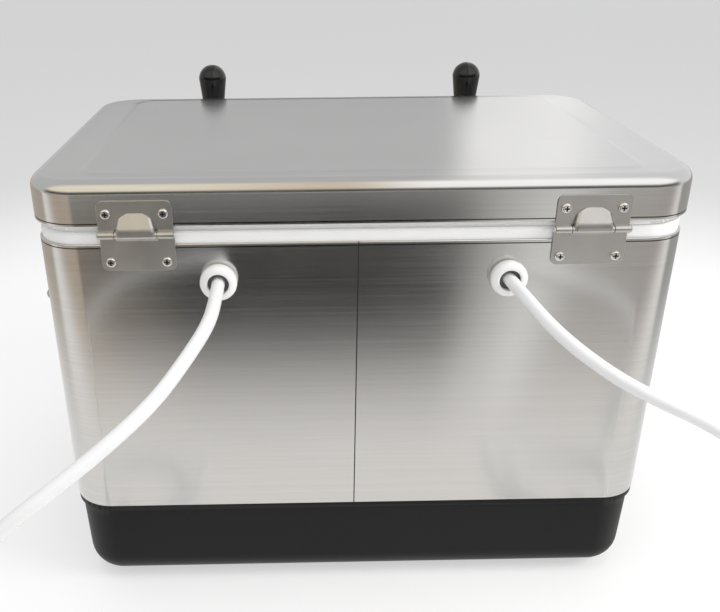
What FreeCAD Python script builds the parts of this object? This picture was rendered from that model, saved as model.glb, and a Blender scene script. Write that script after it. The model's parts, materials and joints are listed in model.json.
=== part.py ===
import FreeCAD, Part
import Sketcher
import math
import operator
import os

# Two-tap jockey box: an insulated steel-clad chest with a hinged lid. Beer comes in through the
# two hoses at the back, runs through cooling coils in the ice tub and out of the two front taps.
# Frame: X along the chest, +Y to the back (hinges and hoses), -Y to the front (taps), +Z up.
# The origin is on the floor, under the middle of the chest. Millimetres and degrees.

# ---------------------------------------------------------------- driving dimensions
DIMENSIONS = [
    ("lid_width", 600, "outside length of the lid, along X"),
    ("lid_depth", 388, "outside depth of the lid, along Y"),
    ("total_height", 450, "floor to the raised field of the lid"),
    ("lid_skirt", 42, "height of the lid's side wall"),
    ("lid_corner", 46, "plan radius of the lid's corners"),
    ("lid_edge", 13, "radius between the lid's top and its side wall"),
    ("sheet", 0.8, "thickness of the steel sheet"),
    ("field_rise", 1.2, "step up to the raised field of the lid"),
    ("field_ramp", 8, "width of the sloping step round the field"),
    ("field_end_border", 44, "lid end to the step"),
    ("field_side_border", 20, "lid front or back to the step"),
    ("bead_depth", 0.35, "depth of the rolled line beside each hem"),
    ("bead_width", 0.7, "width of the rolled line beside each hem"),
    ("lid_hem", 2.6, "height of the lid's hem"),
    ("wrap_hem", 3.4, "height of the hem on top of the steel wrap"),
    ("rim_show", 11.2, "height of the tub's rim seen above the steel wrap"),
    ("wrap_inset", 2.3, "lid face to wrap face"),
    ("seam_offset", 5, "rear seam of the wrap, from the middle"),
    ("seam_gap", 1.1, "width of the seam line"),
    ("seam_lap", 17, "reach of the backing strip each side of the seam"),
    ("strip", 0.7, "thickness of the seam's backing strip"),
    ("base_height", 106, "floor to the lower edge of the wrap"),
    ("base_lip", 7, "height of the base's lip"),
    ("lip_setback", 0.5, "wrap face to lip face"),
    ("tray_setback", 3.7, "wrap face to the base wall, under the lip"),
    ("tray_draft", 3, "lean of the base wall over its height"),
    ("tray_round", 30, "radius at the foot of the base wall"),
    ("tray_wall", 3, "wall of the base"),
    ("foot_height", 5, "height of the base's foot"),
    ("foot_setback", 3, "edge of the base's flat bottom to the foot"),
    ("upstand", 12, "height of the base wall inside the wrap"),
    ("fit_gap", 0.3, "gap round a part that slips into another"),
    ("tub_width", 520, "inside length of the ice tub"),
    ("tub_span", 308, "inside depth of the ice tub, front to back"),
    ("floor_drop", 43.4, "lower edge of the wrap down to the ice tub's floor"),
    ("tub_wall", 3, "wall of the ice tub"),
    ("tub_corner", 40, "plan radius of the tub's corners"),
    ("tub_round", 22, "radius at the bottom of the tub"),
    ("rim_inset", 4.2, "lid face to the face of the tub's rim"),
    ("rim_round", 3.5, "outer edge radius of the tub's rim"),
    ("parting_gap", 0.6, "gap between the tub's rim and the lid liner"),
    ("liner_show", 4.8, "height of lid liner seen below the steel"),
    ("liner_inset", 4.6, "lid face to the face of the lid liner"),
    ("liner_height", 11, "height of the lid liner's wall"),
    ("liner_wall", 2.5, "wall of the lid liner"),
    ("ridge_height", 7, "height of the ridge that enters the tub"),
    ("ridge_width", 8, "width of that ridge"),
    ("ridge_gap", 4, "tub wall to ridge"),
    ("foam_gap", 1.1, "gap round the foam"),
    ("hinge_spacing", 402, "distance between the hinges' middles"),
    ("leaf_width", 66, "width of a hinge leaf"),
    ("leaf_rise", 30.5, "pin to the top of the lid leaf"),
    ("leaf_drop", 34.7, "pin to the bottom of the body leaf"),
    ("leaf", 1.5, "thickness of a hinge leaf"),
    ("leaf_corner", 6, "corner radius of a hinge leaf"),
    ("pin_below_lid", 6, "lid's lower edge down to the hinge pin"),
    ("pin_radius", 2, "hinge and latch pins"),
    ("pin_clearance", 0.05, "radial clearance round a turning pin"),
    ("knuckle_width", 37, "length of the middle knuckle"),
    ("knuckle_gap", 0.5, "gap between neighbouring knuckles"),
    ("bulge_width", 35, "foot of the pressed bulge"),
    ("bulge_top", 25, "head of the pressed bulge"),
    ("bulge_height", 19, "height of the pressed bulge"),
    ("bulge_rise", 2.2, "how far the bulge stands out"),
    ("screw_spacing", 50, "screws of a hinge leaf, across"),
    ("lid_screw_rise", 19, "pin up to the lid leaf's screws"),
    ("body_screw_drop", 26.4, "pin down to the body leaf's screws"),
    ("screw_radius", 2, "shank of a screw"),
    ("screw_length", 12, "length of a screw below its head"),
    ("head_radius", 4.6, "head of a screw"),
    ("head_height", 2.6, "height of a screw head"),
    ("cross_width", 1.3, "arm of a screw's cross recess"),
    ("cross_length", 4.6, "span of a screw's cross recess"),
    ("cross_depth", 1.7, "depth of a screw's cross recess"),
    ("hose_spacing", 262, "distance between the two hoses"),
    ("hose_drop", 46.1, "tub's rim down to the hoses' middles at the wall"),
    ("hose_radius", 6, "outside radius of a hose"),
    ("hose_bore", 4.5, "inside radius of a hose"),
    ("gland_radius", 17, "flange of a hose gland"),
    ("gland_mouth", 12, "outer radius of the gland at its mouth"),
    ("gland_rise", 13, "how far a gland stands out of the wall"),
    ("gland_bore", 9.7, "bore of the gland's mouth"),
    ("gland_neck", 6.3, "bore of the gland's neck"),
    ("gland_sleeve", 9.5, "outside radius of the gland's sleeve"),
    ("gland_nut", 15, "ring nut inside the tub"),
    ("tube_radius", 4, "outside radius of the cooling coil's tube"),
    ("fitting_bore", 3.2, "bore of an inlet fitting"),
    ("bend_radius", 16, "bends of the cooling coil's ends"),
    ("coil_spacing", 262, "distance between the two coils"),
    ("coil_length", 182, "coil, middle of the tube, along X"),
    ("coil_span", 172, "coil, middle of the tube, along Y"),
    ("coil_corner", 62, "corner radius of the coil"),
    ("coil_turns", 12, "turns of a coil"),
    ("coil_pitch", 13, "rise of one turn"),
    ("coil_foot", 12, "tub floor to the first turn"),
    ("riser_gap", 18, "coil to its inlet riser"),
    ("tap_spacing", 336, "distance between the taps"),
    ("tap_drop", 57.6, "tub's rim down to the shanks' middles"),
    ("shank_radius", 11.1, "outside radius of a shank"),
    ("shank_bore", 4.8, "bore of a shank"),
    ("shank_reach", 80, "wall face to the shank's inner end"),
    ("shank_flange", 22, "flange of a shank"),
    ("flange_height", 5, "thickness of the shank's flange"),
    ("stub_radius", 13.5, "outer stub of a shank"),
    ("stub_length", 25, "wall face to the stub's end"),
    ("seat_chamber", 9, "bore that the valve washer moves in"),
    ("shank_nut", 20, "shank nut, half across its flats"),
    ("shank_nut_height", 9, "thickness of a shank nut"),
    ("collar_radius", 19, "coupling collar"),
    ("collar_length", 20, "length of a coupling collar"),
    ("barrel_radius", 12, "barrel of the tap"),
    ("barrel_length", 46, "length of the tap's barrel"),
    ("barrel_bore", 7, "bore of the tap's barrel"),
    ("tap_reach", 55, "wall face to the lever"),
    ("boss_radius", 12.6, "boss under the bonnet"),
    ("boss_height", 20, "shank's middle to the top of the boss"),
    ("spout_radius", 8.4, "outside radius of the spout"),
    ("spout_bore", 5.4, "bore of the spout"),
    ("spout_reach", 26, "lever to the straight part of the spout"),
    ("spout_drop", 92, "shank's middle to the spout's mouth"),
    ("spout_bend", 22, "bend radius of the spout"),
    ("bonnet_radius", 14, "bonnet that holds the lever's ball"),
    ("bonnet_height", 8, "height of the bonnet"),
    ("ball_radius", 7.2, "ball of the lever"),
    ("ball_gap", 0.3, "gap round the ball"),
    ("stem_radius", 3.5, "stem of the lever"),
    ("tip_radius", 2.2, "tip of the lever inside the barrel"),
    ("slot_slack", 1.8, "play of the tip in the valve rod's slot"),
    ("valve_radius", 4, "valve rod"),
    ("washer_radius", 8, "valve washer"),
    ("washer_height", 4, "thickness of the valve washer"),
    ("ferrule_radius", 9.5, "ferrule below the knob"),
    ("ferrule_height", 8, "height of the ferrule"),
    ("stud_radius", 4.7, "stud that the knob screws on"),
    ("stud_length", 20, "length of that stud"),
    ("knob_height", 58, "height of the knob"),
    ("knob_radius", 17.7, "widest part of the knob"),
    ("knob_foot", 13, "foot of the knob"),
    ("lever_length", 77.7, "shank's middle up to the foot of the knob"),
    ("pivot_drop", 91.4, "wrap's top down to the side handles' pivots"),
    ("handle_width", 118, "distance between a handle's legs"),
    ("handle_drop", 56, "pivot to the grip"),
    ("handle_offset", 17, "wall face to the pivot"),
    ("rod_radius", 4, "rod of the handle"),
    ("rod_bend", 12, "bends of the handle's rod"),
    ("grip_radius", 12, "grip of the handle"),
    ("grip_length", 92, "length of the grip"),
    ("bracket_width", 15, "bracket, along Y"),
    ("bracket_height", 46, "bracket, along Z"),
    ("bracket_plate", 3, "plate of the bracket"),
    ("bracket_screws", 32, "screws of a bracket, apart"),
    ("latch_width", 48, "width of the latch plate"),
    ("latch_plate_height", 34, "height of the latch plate"),
    ("latch_drop", 32, "lid's lower edge down to the latch pin"),
    ("latch_offset", 6, "wall face to the latch pin"),
    ("hasp_length", 64, "pin to the end of the hasp"),
    ("hasp_width", 34, "width of the hasp"),
    ("slot_width", 20, "slot of the hasp, along X"),
    ("slot_height", 9, "slot of the hasp, along Z"),
    ("staple_rise", 16, "lid's lower edge up to the staple's middle"),
    ("staple_reach", 13, "lid face to the end of the staple"),
    ("staple_width", 14, "width of the staple"),
    ("staple_plate", 3.4, "thickness of the staple"),
    ("staple_wall", 2, "staple's eye to its outer end"),
    ("drain_side", -90, "drain, along Y"),
    ("drain_radius", 12, "outside radius of the drain spout"),
    ("drain_bore", 8, "bore of the drain spout"),
    ("drain_rise", 12, "tub floor to the drain's middle"),
    ("drain_reach", 12, "drain boss to the spout's end"),
    ("drain_nut", 17, "drain nut, half across its flats"),
    ("drain_nut_height", 6, "thickness of the drain nut"),
    ("plug_length", 16, "length of the drain plug in its spout"),
    ("seal_radius", 1.3, "section of the plug's sealing ring"),
    ("turn_radius", 54, "first turn of a put-away hose"),
    ("ring_turns", 2.5, "turns of a put-away hose"),
    ("ring_centre_x", 271, "put-away hose, from the middle"),
    ("ring_centre_y", 352, "put-away hose, behind the middle"),
    ("landing", 14, "floor to a hose where it comes down on its ring"),
    ("end_length", 72, "last straight stretch of a hose"),
    ("end_nut", 13.5, "nut at a hose's end, half across its flats"),
    ("end_nut_length", 22, "length of that nut"),
    ("ferrule_length", 14, "crimped sleeve at a hose's end"),
]


class Size:
    """A number that keeps the spreadsheet formula it comes from."""

    def __init__(self, value, text):
        self.value = value
        self.text = text

    def __add__(self, other):
        return joined(self, "+", other)

    def __sub__(self, other):
        return joined(self, "-", other)

    def __mul__(self, other):
        return joined(self, "*", other)

    def __truediv__(self, other):
        return joined(self, "/", other)

    def __radd__(self, other):
        return joined(other, "+", self)

    def __rsub__(self, other):
        return joined(other, "-", self)

    def __rmul__(self, other):
        return joined(other, "*", self)

    def __neg__(self):
        return joined(-1, "*", self)


OPERATIONS = {"+": operator.add, "-": operator.sub, "*": operator.mul, "/": operator.truediv}


def as_size(number):
    return number if isinstance(number, Size) else Size(float(number), repr(float(number)))


def joined(first, sign, second):
    first, second = as_size(first), as_size(second)
    value = OPERATIONS[sign](first.value, second.value)
    return Size(value, "(" + first.text + " " + sign + " " + second.text + ")")


def smaller(first, second):
    first, second = as_size(first), as_size(second)
    return Size(min(first.value, second.value), "min(" + first.text + "; " + second.text + ")")


def slope(rise, run):
    """The angle, in degrees, of a slope that rises by rise over run."""
    angle = math.degrees(math.atan2(rise.value, run.value))
    return Size(angle, "atan(" + rise.text + " / " + run.text + ")")


class Sheet:
    """The spreadsheet of driving dimensions, read back as Sizes."""

    def __init__(self, document, rows):
        self.object = document.addObject("Spreadsheet::Sheet", "Sizes")
        for row, (alias, number, note) in enumerate(rows, start=1):
            self.object.set("A%d" % row, alias)
            self.object.set("B%d" % row, str(number))
            self.object.set("C%d" % row, note)
            self.object.setAlias("B%d" % row, alias)
        document.recompute()
        for alias, number, note in rows:
            setattr(self, alias, Size(float(self.object.get(alias)), "Sizes." + alias))


doc = FreeCAD.newDocument("jockey_box")
s = Sheet(doc, DIMENSIONS)
nodes = []

# ---------------------------------------------------------------- modelling helpers
# direction: the body's origin plane, the sign of the plane's offset, and if a pad is reversed
DIRECTIONS = {
    "+X": ("YZ_Plane", 1, False),
    "-X": ("YZ_Plane", 1, True),
    "+Y": ("XZ_Plane", -1, True),
    "-Y": ("XZ_Plane", -1, False),
    "+Z": ("XY_Plane", 1, False),
    "-Z": ("XY_Plane", 1, True),
}
# turning axis: the sketch plane and the sketch axis
TURNING = {
    "X": ("XZ_Plane", "H_Axis"),
    "Y": ("YZ_Plane", "H_Axis"),
    "Z": ("XZ_Plane", "V_Axis"),
}
FULL_TURN = 360


def part_body(name):
    body = doc.addObject("PartDesign::Body", name)
    body.Label = name
    return body


def finished(node):
    """Marks an object as a sub-part that is written to its own file."""
    nodes.append(node)
    return node


def new_sketch(body, role, offset=0):
    sketch = body.newObject("Sketcher::SketchObject", body.Name + "_sketch")
    plane = [item for item in body.Origin.OriginFeatures if item.Role == role][0]
    sketch.AttachmentSupport = [(plane, "")]
    sketch.MapMode = "FlatFace"
    sketch.setExpression("AttachmentOffset.Base.z", as_size(offset).text)
    return sketch


def fix_point(sketch, geometry, end, x, y):
    """Ties a point to its X and Y, both from the sheet."""
    for kind, number in (("DistanceX", as_size(x)), ("DistanceY", as_size(y))):
        index = sketch.addConstraint(Sketcher.Constraint(kind, -1, 1, geometry, end, number.value))
        name = "place_%d" % index
        sketch.renameConstraint(index, name)
        sketch.setExpression("Constraints." + name, number.text)


def fix_radius(sketch, geometry, radius):
    index = sketch.addConstraint(Sketcher.Constraint("Radius", geometry, radius.value))
    name = "radius_%d" % index
    sketch.renameConstraint(index, name)
    sketch.setExpression("Constraints." + name, radius.text)


def draw_circle(sketch, x, y, radius):
    x, y, radius = as_size(x), as_size(y), as_size(radius)
    centre = FreeCAD.Vector(x.value, y.value, 0)
    circle = Part.Circle(centre, FreeCAD.Vector(0, 0, 1), radius.value)
    geometry = sketch.addGeometry(circle, False)
    fix_point(sketch, geometry, 3, x, y)
    fix_radius(sketch, geometry, radius)


def unit_sign(number):
    return 0 if abs(number) < 1e-9 else math.copysign(1, number)


def rounded_corner(before, corner, after):
    """The two ends of the arc that rounds a square corner."""
    x, y, radius = as_size(corner[0]), as_size(corner[1]), as_size(corner[2])
    came_x = unit_sign(x.value - as_size(before[0]).value)
    came_y = unit_sign(y.value - as_size(before[1]).value)
    goes_x = unit_sign(as_size(after[0]).value - x.value)
    goes_y = unit_sign(as_size(after[1]).value - y.value)
    start = (x - came_x * radius, y - came_y * radius)
    end = (x + goes_x * radius, y + goes_y * radius)
    turns_left = came_x * goes_y - came_y * goes_x > 0
    return start, end, radius, turns_left


def outline_runs(corners, closed):
    """Lines and arcs of an outline, each as (start, end, radius or None, turns_left)."""
    stops = []
    for index, corner in enumerate(corners):
        if len(corner) == 3:
            before = corners[index - 1]
            after = corners[(index + 1) % len(corners)]
            start, end, radius, turns_left = rounded_corner(before, corner, after)
            stops.append((start, radius, turns_left))
            stops.append((end, None, True))
        else:
            stops.append((corner[:2], None, True))
    runs = []
    for index, (start, radius, turns_left) in enumerate(stops):
        if index + 1 < len(stops) or closed:
            end = stops[(index + 1) % len(stops)][0]
            runs.append((start, end, radius, turns_left))
    return runs


def arc_between(start, end, radius, turns_left):
    """A circular arc between two points, along with whether it was drawn backwards."""
    chord = end - start
    middle = (start + end) * 0.5
    left = FreeCAD.Vector(-chord.y, chord.x, 0).normalize()
    height = math.sqrt(max(radius ** 2 - (chord.Length / 2) ** 2, 0))
    centre = middle + left * (height if turns_left else -height)
    circle = Part.Circle(centre, FreeCAD.Vector(0, 0, 1), radius)
    first, last = (start, end) if turns_left else (end, start)
    angles = [math.atan2(point.y - centre.y, point.x - centre.x) for point in (first, last)]
    return Part.ArcOfCircle(circle, angles[0], angles[1])


def draw_outline(sketch, corners, closed=True):
    """Corners are (x, y), or (x, y, radius) where a square corner is rounded."""
    runs = outline_runs(corners, closed)
    ends = []
    for start, end, radius, turns_left in runs:
        first = FreeCAD.Vector(as_size(start[0]).value, as_size(start[1]).value, 0)
        last = FreeCAD.Vector(as_size(end[0]).value, as_size(end[1]).value, 0)
        if radius is None:
            geometry = sketch.addGeometry(Part.LineSegment(first, last), False)
            ends.append((geometry, 1, 2))
        else:
            arc = arc_between(first, last, radius.value, turns_left)
            geometry = sketch.addGeometry(arc, False)
            ends.append((geometry, 1, 2) if turns_left else (geometry, 2, 1))
    for index, (geometry, first, last) in enumerate(ends):
        fix_point(sketch, geometry, first, *runs[index][0])
        if runs[index][2] is not None:
            fix_radius(sketch, geometry, runs[index][2])
        if index + 1 < len(ends) or closed:
            after = ends[(index + 1) % len(ends)]
            sketch.addConstraint(Sketcher.Constraint("Coincident", geometry, last, after[0], after[1]))
    if not closed:
        fix_point(sketch, ends[-1][0], ends[-1][2], *runs[-1][1])


def draw(sketch, loops):
    """Loops are outlines, or circles written as ("circle", x, y, radius)."""
    for loop in loops:
        if loop[0] == "circle":
            draw_circle(sketch, *loop[1:])
        else:
            draw_outline(sketch, loop)


def extrude(body, direction, start, length, loops, cut=False, taper=None):
    """Pads loops, or cuts them out, from start along direction. A taper leans the walls inwards."""
    role, sign, reverse = DIRECTIONS[direction]
    sketch = new_sketch(body, role, sign * as_size(start))
    draw(sketch, loops)
    kind = "Pocket" if cut else "Pad"
    feature = body.newObject("PartDesign::" + kind, body.Name + "_" + kind.lower())
    feature.Profile = sketch
    feature.Reversed = reverse != cut
    feature.setExpression("Length", as_size(length).text)
    if taper is not None:
        feature.setExpression("TaperAngle", (-taper).text)
    return feature


def turn(body, axis, profile, cut=False):
    """Revolves a profile of (along, radius) corners about an axis of the body."""
    role, sketch_axis = TURNING[axis]
    sketch = new_sketch(body, role)
    corners = profile
    if axis == "Z":
        corners = [(corner[1], corner[0]) + tuple(corner[2:]) for corner in profile]
    draw_outline(sketch, corners)
    kind = "Groove" if cut else "Revolution"
    feature = body.newObject("PartDesign::" + kind, body.Name + "_" + kind.lower())
    feature.Profile = sketch
    feature.ReferenceAxis = (sketch, [sketch_axis])
    feature.Angle = FULL_TURN
    return feature


def round_edges(body, radius, choose):
    """Fillets the edges that choose picks from the body as it stands."""
    doc.recompute()
    names = []
    for index, edge in enumerate(body.Shape.Edges, start=1):
        if choose(edge.BoundBox):
            names.append("Edge%d" % index)
    if not names:
        raise ValueError("no edge to round on " + body.Name)
    base = body.Tip
    fillet = body.newObject("PartDesign::Fillet", body.Name + "_fillet")
    fillet.Base = (base, names)
    fillet.setExpression("Radius", as_size(radius).text)
    return fillet


def at_level(level):
    """Picks the edges that lie in one horizontal plane."""
    height = as_size(level).value
    return lambda box: abs(box.ZMin - height) < 0.02 and abs(box.ZMax - height) < 0.02


def place(node, x=0, y=0, z=0, turned=None):
    if turned is not None:
        node.Placement = FreeCAD.Placement(FreeCAD.Vector(0, 0, 0), turned)
    for name, number in (("x", x), ("y", y), ("z", z)):
        node.setExpression("Placement.Base." + name, as_size(number).text)
    return node


def group(name, members):
    compound = doc.addObject("Part::Compound", name)
    compound.Label = name
    compound.Links = members
    return compound


def plan_loop(inset, width=s.lid_width, depth=s.lid_depth, corner=s.lid_corner):
    """A rounded rectangle, set in from the given plan on every side."""
    half_x = width / 2 - inset
    half_y = depth / 2 - inset
    radius = corner - inset
    return [(-half_x, -half_y, radius), (half_x, -half_y, radius),
            (half_x, half_y, radius), (-half_x, half_y, radius)]


def tub_loop(inset):
    """The tub's inner outline, set in, or out where inset is negative."""
    return plan_loop(inset, s.tub_width, s.tub_span, s.tub_corner)


def rectangle(low_x, low_y, high_x, high_y):
    return [(low_x, low_y), (high_x, low_y), (high_x, high_y), (low_x, high_y)]


def hexagon(x, y, flat):
    """A hexagon that has a flat side at the top; flat is half its width across flats."""
    point = flat * 2 / math.sqrt(3)
    corners = []
    for step in range(6):
        angle = math.radians(60 * step)
        corners.append((x + point * math.cos(angle), y + point * math.sin(angle)))
    return corners


def rounded_wire(points, radii):
    """Straight runs through points, joined by tangent arcs of the radii at the inner points."""
    edges = []
    start = points[0]
    for before, corner, after, radius in zip(points, points[1:], points[2:], radii):
        inward = (before - corner).normalize()
        outward = (after - corner).normalize()
        half_angle = inward.getAngle(outward) / 2
        reach = radius / math.tan(half_angle)
        bisector = (inward + outward).normalize()
        first = corner + inward * reach
        last = corner + outward * reach
        middle = corner + bisector * (radius / math.sin(half_angle) - radius)
        if first.distanceToPoint(start) > 1e-6:
            edges.append(Part.LineSegment(start, first).toShape())
        edges.append(Part.Arc(first, middle, last).toShape())
        start = last
    edges.append(Part.LineSegment(start, points[-1]).toShape())
    return Part.Wire(edges)


def swept(wire, radius):
    """A round bar of one radius along a wire."""
    edge = wire.Edges[0]
    start = edge.valueAt(edge.FirstParameter)
    ahead = edge.tangentAt(edge.FirstParameter)
    ring = Part.Wire([Part.Circle(start, ahead, radius).toShape()])
    return wire.makePipeShell([ring], True, False)


def shape_node(name, shape):
    feature = doc.addObject("Part::Feature", name)
    feature.Label = name
    feature.Shape = shape
    return feature


# ---------------------------------------------------------------- shared levels and planes
lid_bottom = s.total_height - s.lid_skirt
lid_top = s.total_height - s.field_rise
rim_top = lid_bottom - s.liner_show - s.parting_gap
wrap_top = rim_top - s.rim_show
wrap_height = wrap_top - s.base_height
liner_bottom = lid_bottom - s.liner_show
tub_floor = s.base_height - s.floor_drop
tub_depth = rim_top - tub_floor
pin_height = lid_bottom - s.pin_below_lid
lid_back = s.lid_depth / 2
wall_y = s.lid_depth / 2 - s.wrap_inset
wall_x = s.lid_width / 2 - s.wrap_inset
tub_x = s.tub_width / 2
tub_y = s.tub_span / 2
knuckle_radius = s.pin_radius + s.leaf
pin_y = lid_back + knuckle_radius
wrap_corner_inset = s.wrap_inset
tray_inset = s.wrap_inset + s.tray_setback
tray_hollow = tray_inset + s.tray_wall
drain_height = tub_floor + s.drain_rise
hose_height = rim_top - s.hose_drop
tap_height = rim_top - s.tap_drop
handle_height = wrap_top - s.pivot_drop
latch_height = lid_bottom - s.latch_drop
staple_height = lid_bottom + s.staple_rise
knob_bottom = tap_height + s.lever_length
drain_face = s.lid_width / 2 - s.wrap_inset - s.tray_setback + 0.5
hole_gap = s.fit_gap
lever_y = -wall_y - s.tap_reach
SIDES = (("left", 1), ("right", -1))


# ---------------------------------------------------------------- chest
def wall_holes(body, gap):
    """Holes through the four walls for the shanks, glands, screws and drain."""
    inner = tub_y - s.tub_wall
    reach = lid_back - inner
    half_tap = s.tap_spacing / 2
    half_hose = s.hose_spacing / 2
    shanks = [("circle", side * half_tap, tap_height, s.shank_radius + gap) for _, side in SIDES]
    glands = [("circle", side * half_hose, hose_height, s.gland_sleeve + gap) for _, side in SIDES]
    extrude(body, "-Y", -inner, reach, shanks, cut=True)
    extrude(body, "+Y", inner, reach, glands, cut=True)


def screw_holes(body, gap):
    """Holes for the screws that go into the wrap and the foam behind it."""
    start = wall_y - s.screw_length - s.fit_gap
    depth = s.screw_length + s.fit_gap + s.wrap_inset
    back = []
    for _, side in SIDES:
        for end in (-1, 1):
            x = side * s.hinge_spacing / 2 + end * s.screw_spacing / 2
            back.append(("circle", x, pin_height - s.body_screw_drop, s.screw_radius + gap))
    extrude(body, "+Y", start, depth, back, cut=True)
    front = [("circle", x, z, s.screw_radius + gap) for x, z in latch_screw_places()]
    extrude(body, "-Y", -start, depth, front, cut=True)
    side_start = wall_x - s.screw_length - s.fit_gap
    ends = [("circle", y, z, s.screw_radius + gap) for y, z in bracket_screw_places()]
    extrude(body, "+X", side_start, depth, ends, cut=True)
    extrude(body, "-X", -side_start, depth, ends, cut=True)


def latch_screw_places():
    places = []
    for end in (-1, 1):
        x = end * (s.latch_width / 2 - s.head_radius - 2)
        places.append((x, latch_plate_bottom + s.head_radius + 3))
    return places


def bracket_screw_places():
    places = []
    for end in (-1, 1):
        for up in (-1, 1):
            places.append((end * bracket_y, handle_height + up * s.bracket_screws / 2))
    return places


latch_plate_bottom = latch_height - s.latch_plate_height
bracket_y = s.handle_width / 2 + s.rod_bend + s.bracket_width / 2 + s.knuckle_gap


def make_base_tray():
    body = part_body("base_tray")
    lip_bottom = s.base_height - s.base_lip
    wall_length = lip_bottom - s.foot_height
    lean = slope(s.tray_draft, wall_length)
    lip_inset = s.wrap_inset + s.lip_setback
    hollow_floor = s.foot_height + s.tray_wall
    extrude(body, "-Z", lip_bottom, wall_length, [plan_loop(tray_inset)], taper=lean)
    extrude(body, "-Z", lip_bottom, lip_bottom - hollow_floor, [plan_loop(tray_hollow)],
            cut=True, taper=lean)
    round_edges(body, s.tray_round - s.tray_wall, at_level(hollow_floor))
    round_edges(body, s.tray_round, at_level(s.foot_height))
    extrude(body, "+Z", lip_bottom, s.base_lip, [plan_loop(lip_inset)])
    extrude(body, "+Z", s.base_height, s.upstand, [plan_loop(s.wrap_inset + s.sheet + s.fit_gap)])
    foot_inset = tray_inset + s.tray_draft + s.tray_round + s.foot_setback
    foot_corner = s.lid_corner - tray_inset
    foot = plan_loop(0, s.lid_width - 2 * foot_inset, s.lid_depth - 2 * foot_inset, foot_corner / 2)
    extrude(body, "+Z", 0, s.foot_height, [foot])
    extrude(body, "+Z", lip_bottom, s.base_lip + s.upstand, [plan_loop(tray_hollow)], cut=True)
    face_start = s.lid_width / 2 - tray_hollow
    boss = [("circle", s.drain_side, drain_height, s.drain_nut + 3)]
    extrude(body, "+X", face_start - s.fit_gap, drain_face - face_start + s.fit_gap, boss)
    drain_hole = [("circle", s.drain_side, drain_height, s.drain_radius + hole_gap)]
    extrude(body, "+X", face_start - s.tray_wall, s.tray_wall * 4, drain_hole, cut=True)
    return finished(body)


def make_body_wrap():
    body = part_body("body_wrap")
    outer = plan_loop(s.wrap_inset)
    inner = plan_loop(s.wrap_inset + s.sheet)
    folded = plan_loop(s.wrap_inset + 2 * s.sheet)
    extrude(body, "+Z", s.base_height, wrap_height, [outer, inner])
    extrude(body, "+Z", wrap_top - s.wrap_hem, s.wrap_hem, [outer, folded])
    groove_inner = plan_loop(s.wrap_inset + s.bead_depth)
    groove_level = wrap_top - s.wrap_hem - s.bead_width
    extrude(body, "+Z", groove_level, s.bead_width, [plan_loop(0), groove_inner], cut=True)
    strip_y = wall_y - s.sheet - s.strip
    strip_bottom = s.base_height + s.upstand + s.fit_gap
    strip_top = wrap_top - s.wrap_hem
    strip = rectangle(s.seam_offset - s.seam_lap, strip_bottom, s.seam_offset + s.seam_lap, strip_top)
    extrude(body, "+Y", strip_y, s.strip + s.sheet / 2, [strip])
    slit = rectangle(s.seam_offset - s.seam_gap / 2, s.base_height,
                     s.seam_offset + s.seam_gap / 2, wrap_top)
    extrude(body, "+Y", wall_y - s.sheet / 2, s.wrap_inset, [slit], cut=True)
    wall_holes(body, hole_gap)
    screw_holes(body, s.pin_clearance)
    return finished(body)


def make_inner_tub():
    body = part_body("inner_tub")
    rim_height = rim_top - wrap_top
    extrude(body, "+Z", wrap_top, rim_height, [plan_loop(s.rim_inset)])
    round_edges(body, s.rim_round, at_level(rim_top))
    under = plan_loop(s.rim_inset + s.tub_wall)
    extrude(body, "+Z", wrap_top, rim_height - s.tub_wall, [under], cut=True)
    tub_height = tub_depth + s.tub_wall
    extrude(body, "-Z", rim_top, tub_height, [tub_loop(-s.tub_wall)])
    extrude(body, "-Z", rim_top, tub_depth, [tub_loop(0)], cut=True)
    round_edges(body, s.tub_round, at_level(tub_floor))
    round_edges(body, s.tub_round + s.tub_wall, at_level(tub_floor - s.tub_wall))
    wall_holes(body, hole_gap)
    drain = [("circle", s.drain_side, drain_height, s.drain_bore)]
    extrude(body, "+X", tub_x - s.tub_round, s.tub_round + 2 * s.tub_wall, drain, cut=True)
    return finished(body)


def make_body_foam():
    body = part_body("body_foam")
    wide_inset = s.wrap_inset + s.sheet + s.foam_gap
    narrow_inset = tray_hollow + s.tray_draft + s.fit_gap
    split = s.base_height + s.upstand + s.fit_gap
    bottom = s.foot_height + s.tray_wall + s.fit_gap
    top = rim_top - s.tub_wall - s.fit_gap
    rim_inset = s.rim_inset + s.tub_wall + s.fit_gap
    extrude(body, "+Z", bottom, split - bottom, [plan_loop(narrow_inset)])
    round_edges(body, s.tray_round - s.tray_wall, at_level(bottom))
    extrude(body, "+Z", split, wrap_top - split, [plan_loop(wide_inset)])
    extrude(body, "+Z", wrap_top, top - wrap_top, [plan_loop(rim_inset)])
    cavity_floor = tub_floor - s.tub_wall - s.fit_gap
    extrude(body, "-Z", top, top - cavity_floor, [tub_loop(-s.tub_wall - s.fit_gap)], cut=True)
    round_edges(body, s.tub_round + s.tub_wall + s.fit_gap, at_level(cavity_floor))
    wall_holes(body, hole_gap)
    screw_holes(body, hole_gap)
    drain = [("circle", s.drain_side, drain_height, s.drain_radius + hole_gap)]
    extrude(body, "+X", tub_x - s.tub_round, wall_x - tub_x + s.tub_round, drain, cut=True)
    return finished(body)


# ---------------------------------------------------------------- lid
def lid_screw_places():
    places = []
    for _, side in SIDES:
        for end in (-1, 1):
            x = side * s.hinge_spacing / 2 + end * s.screw_spacing / 2
            places.append((x, pin_height + s.lid_screw_rise))
    return places


def lid_screw_holes(body, gap):
    start = lid_back - s.screw_length - s.fit_gap
    holes = [("circle", x, z, s.screw_radius + gap) for x, z in lid_screw_places()]
    extrude(body, "+Y", start, s.screw_length + 2 * s.fit_gap, holes, cut=True)


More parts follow.
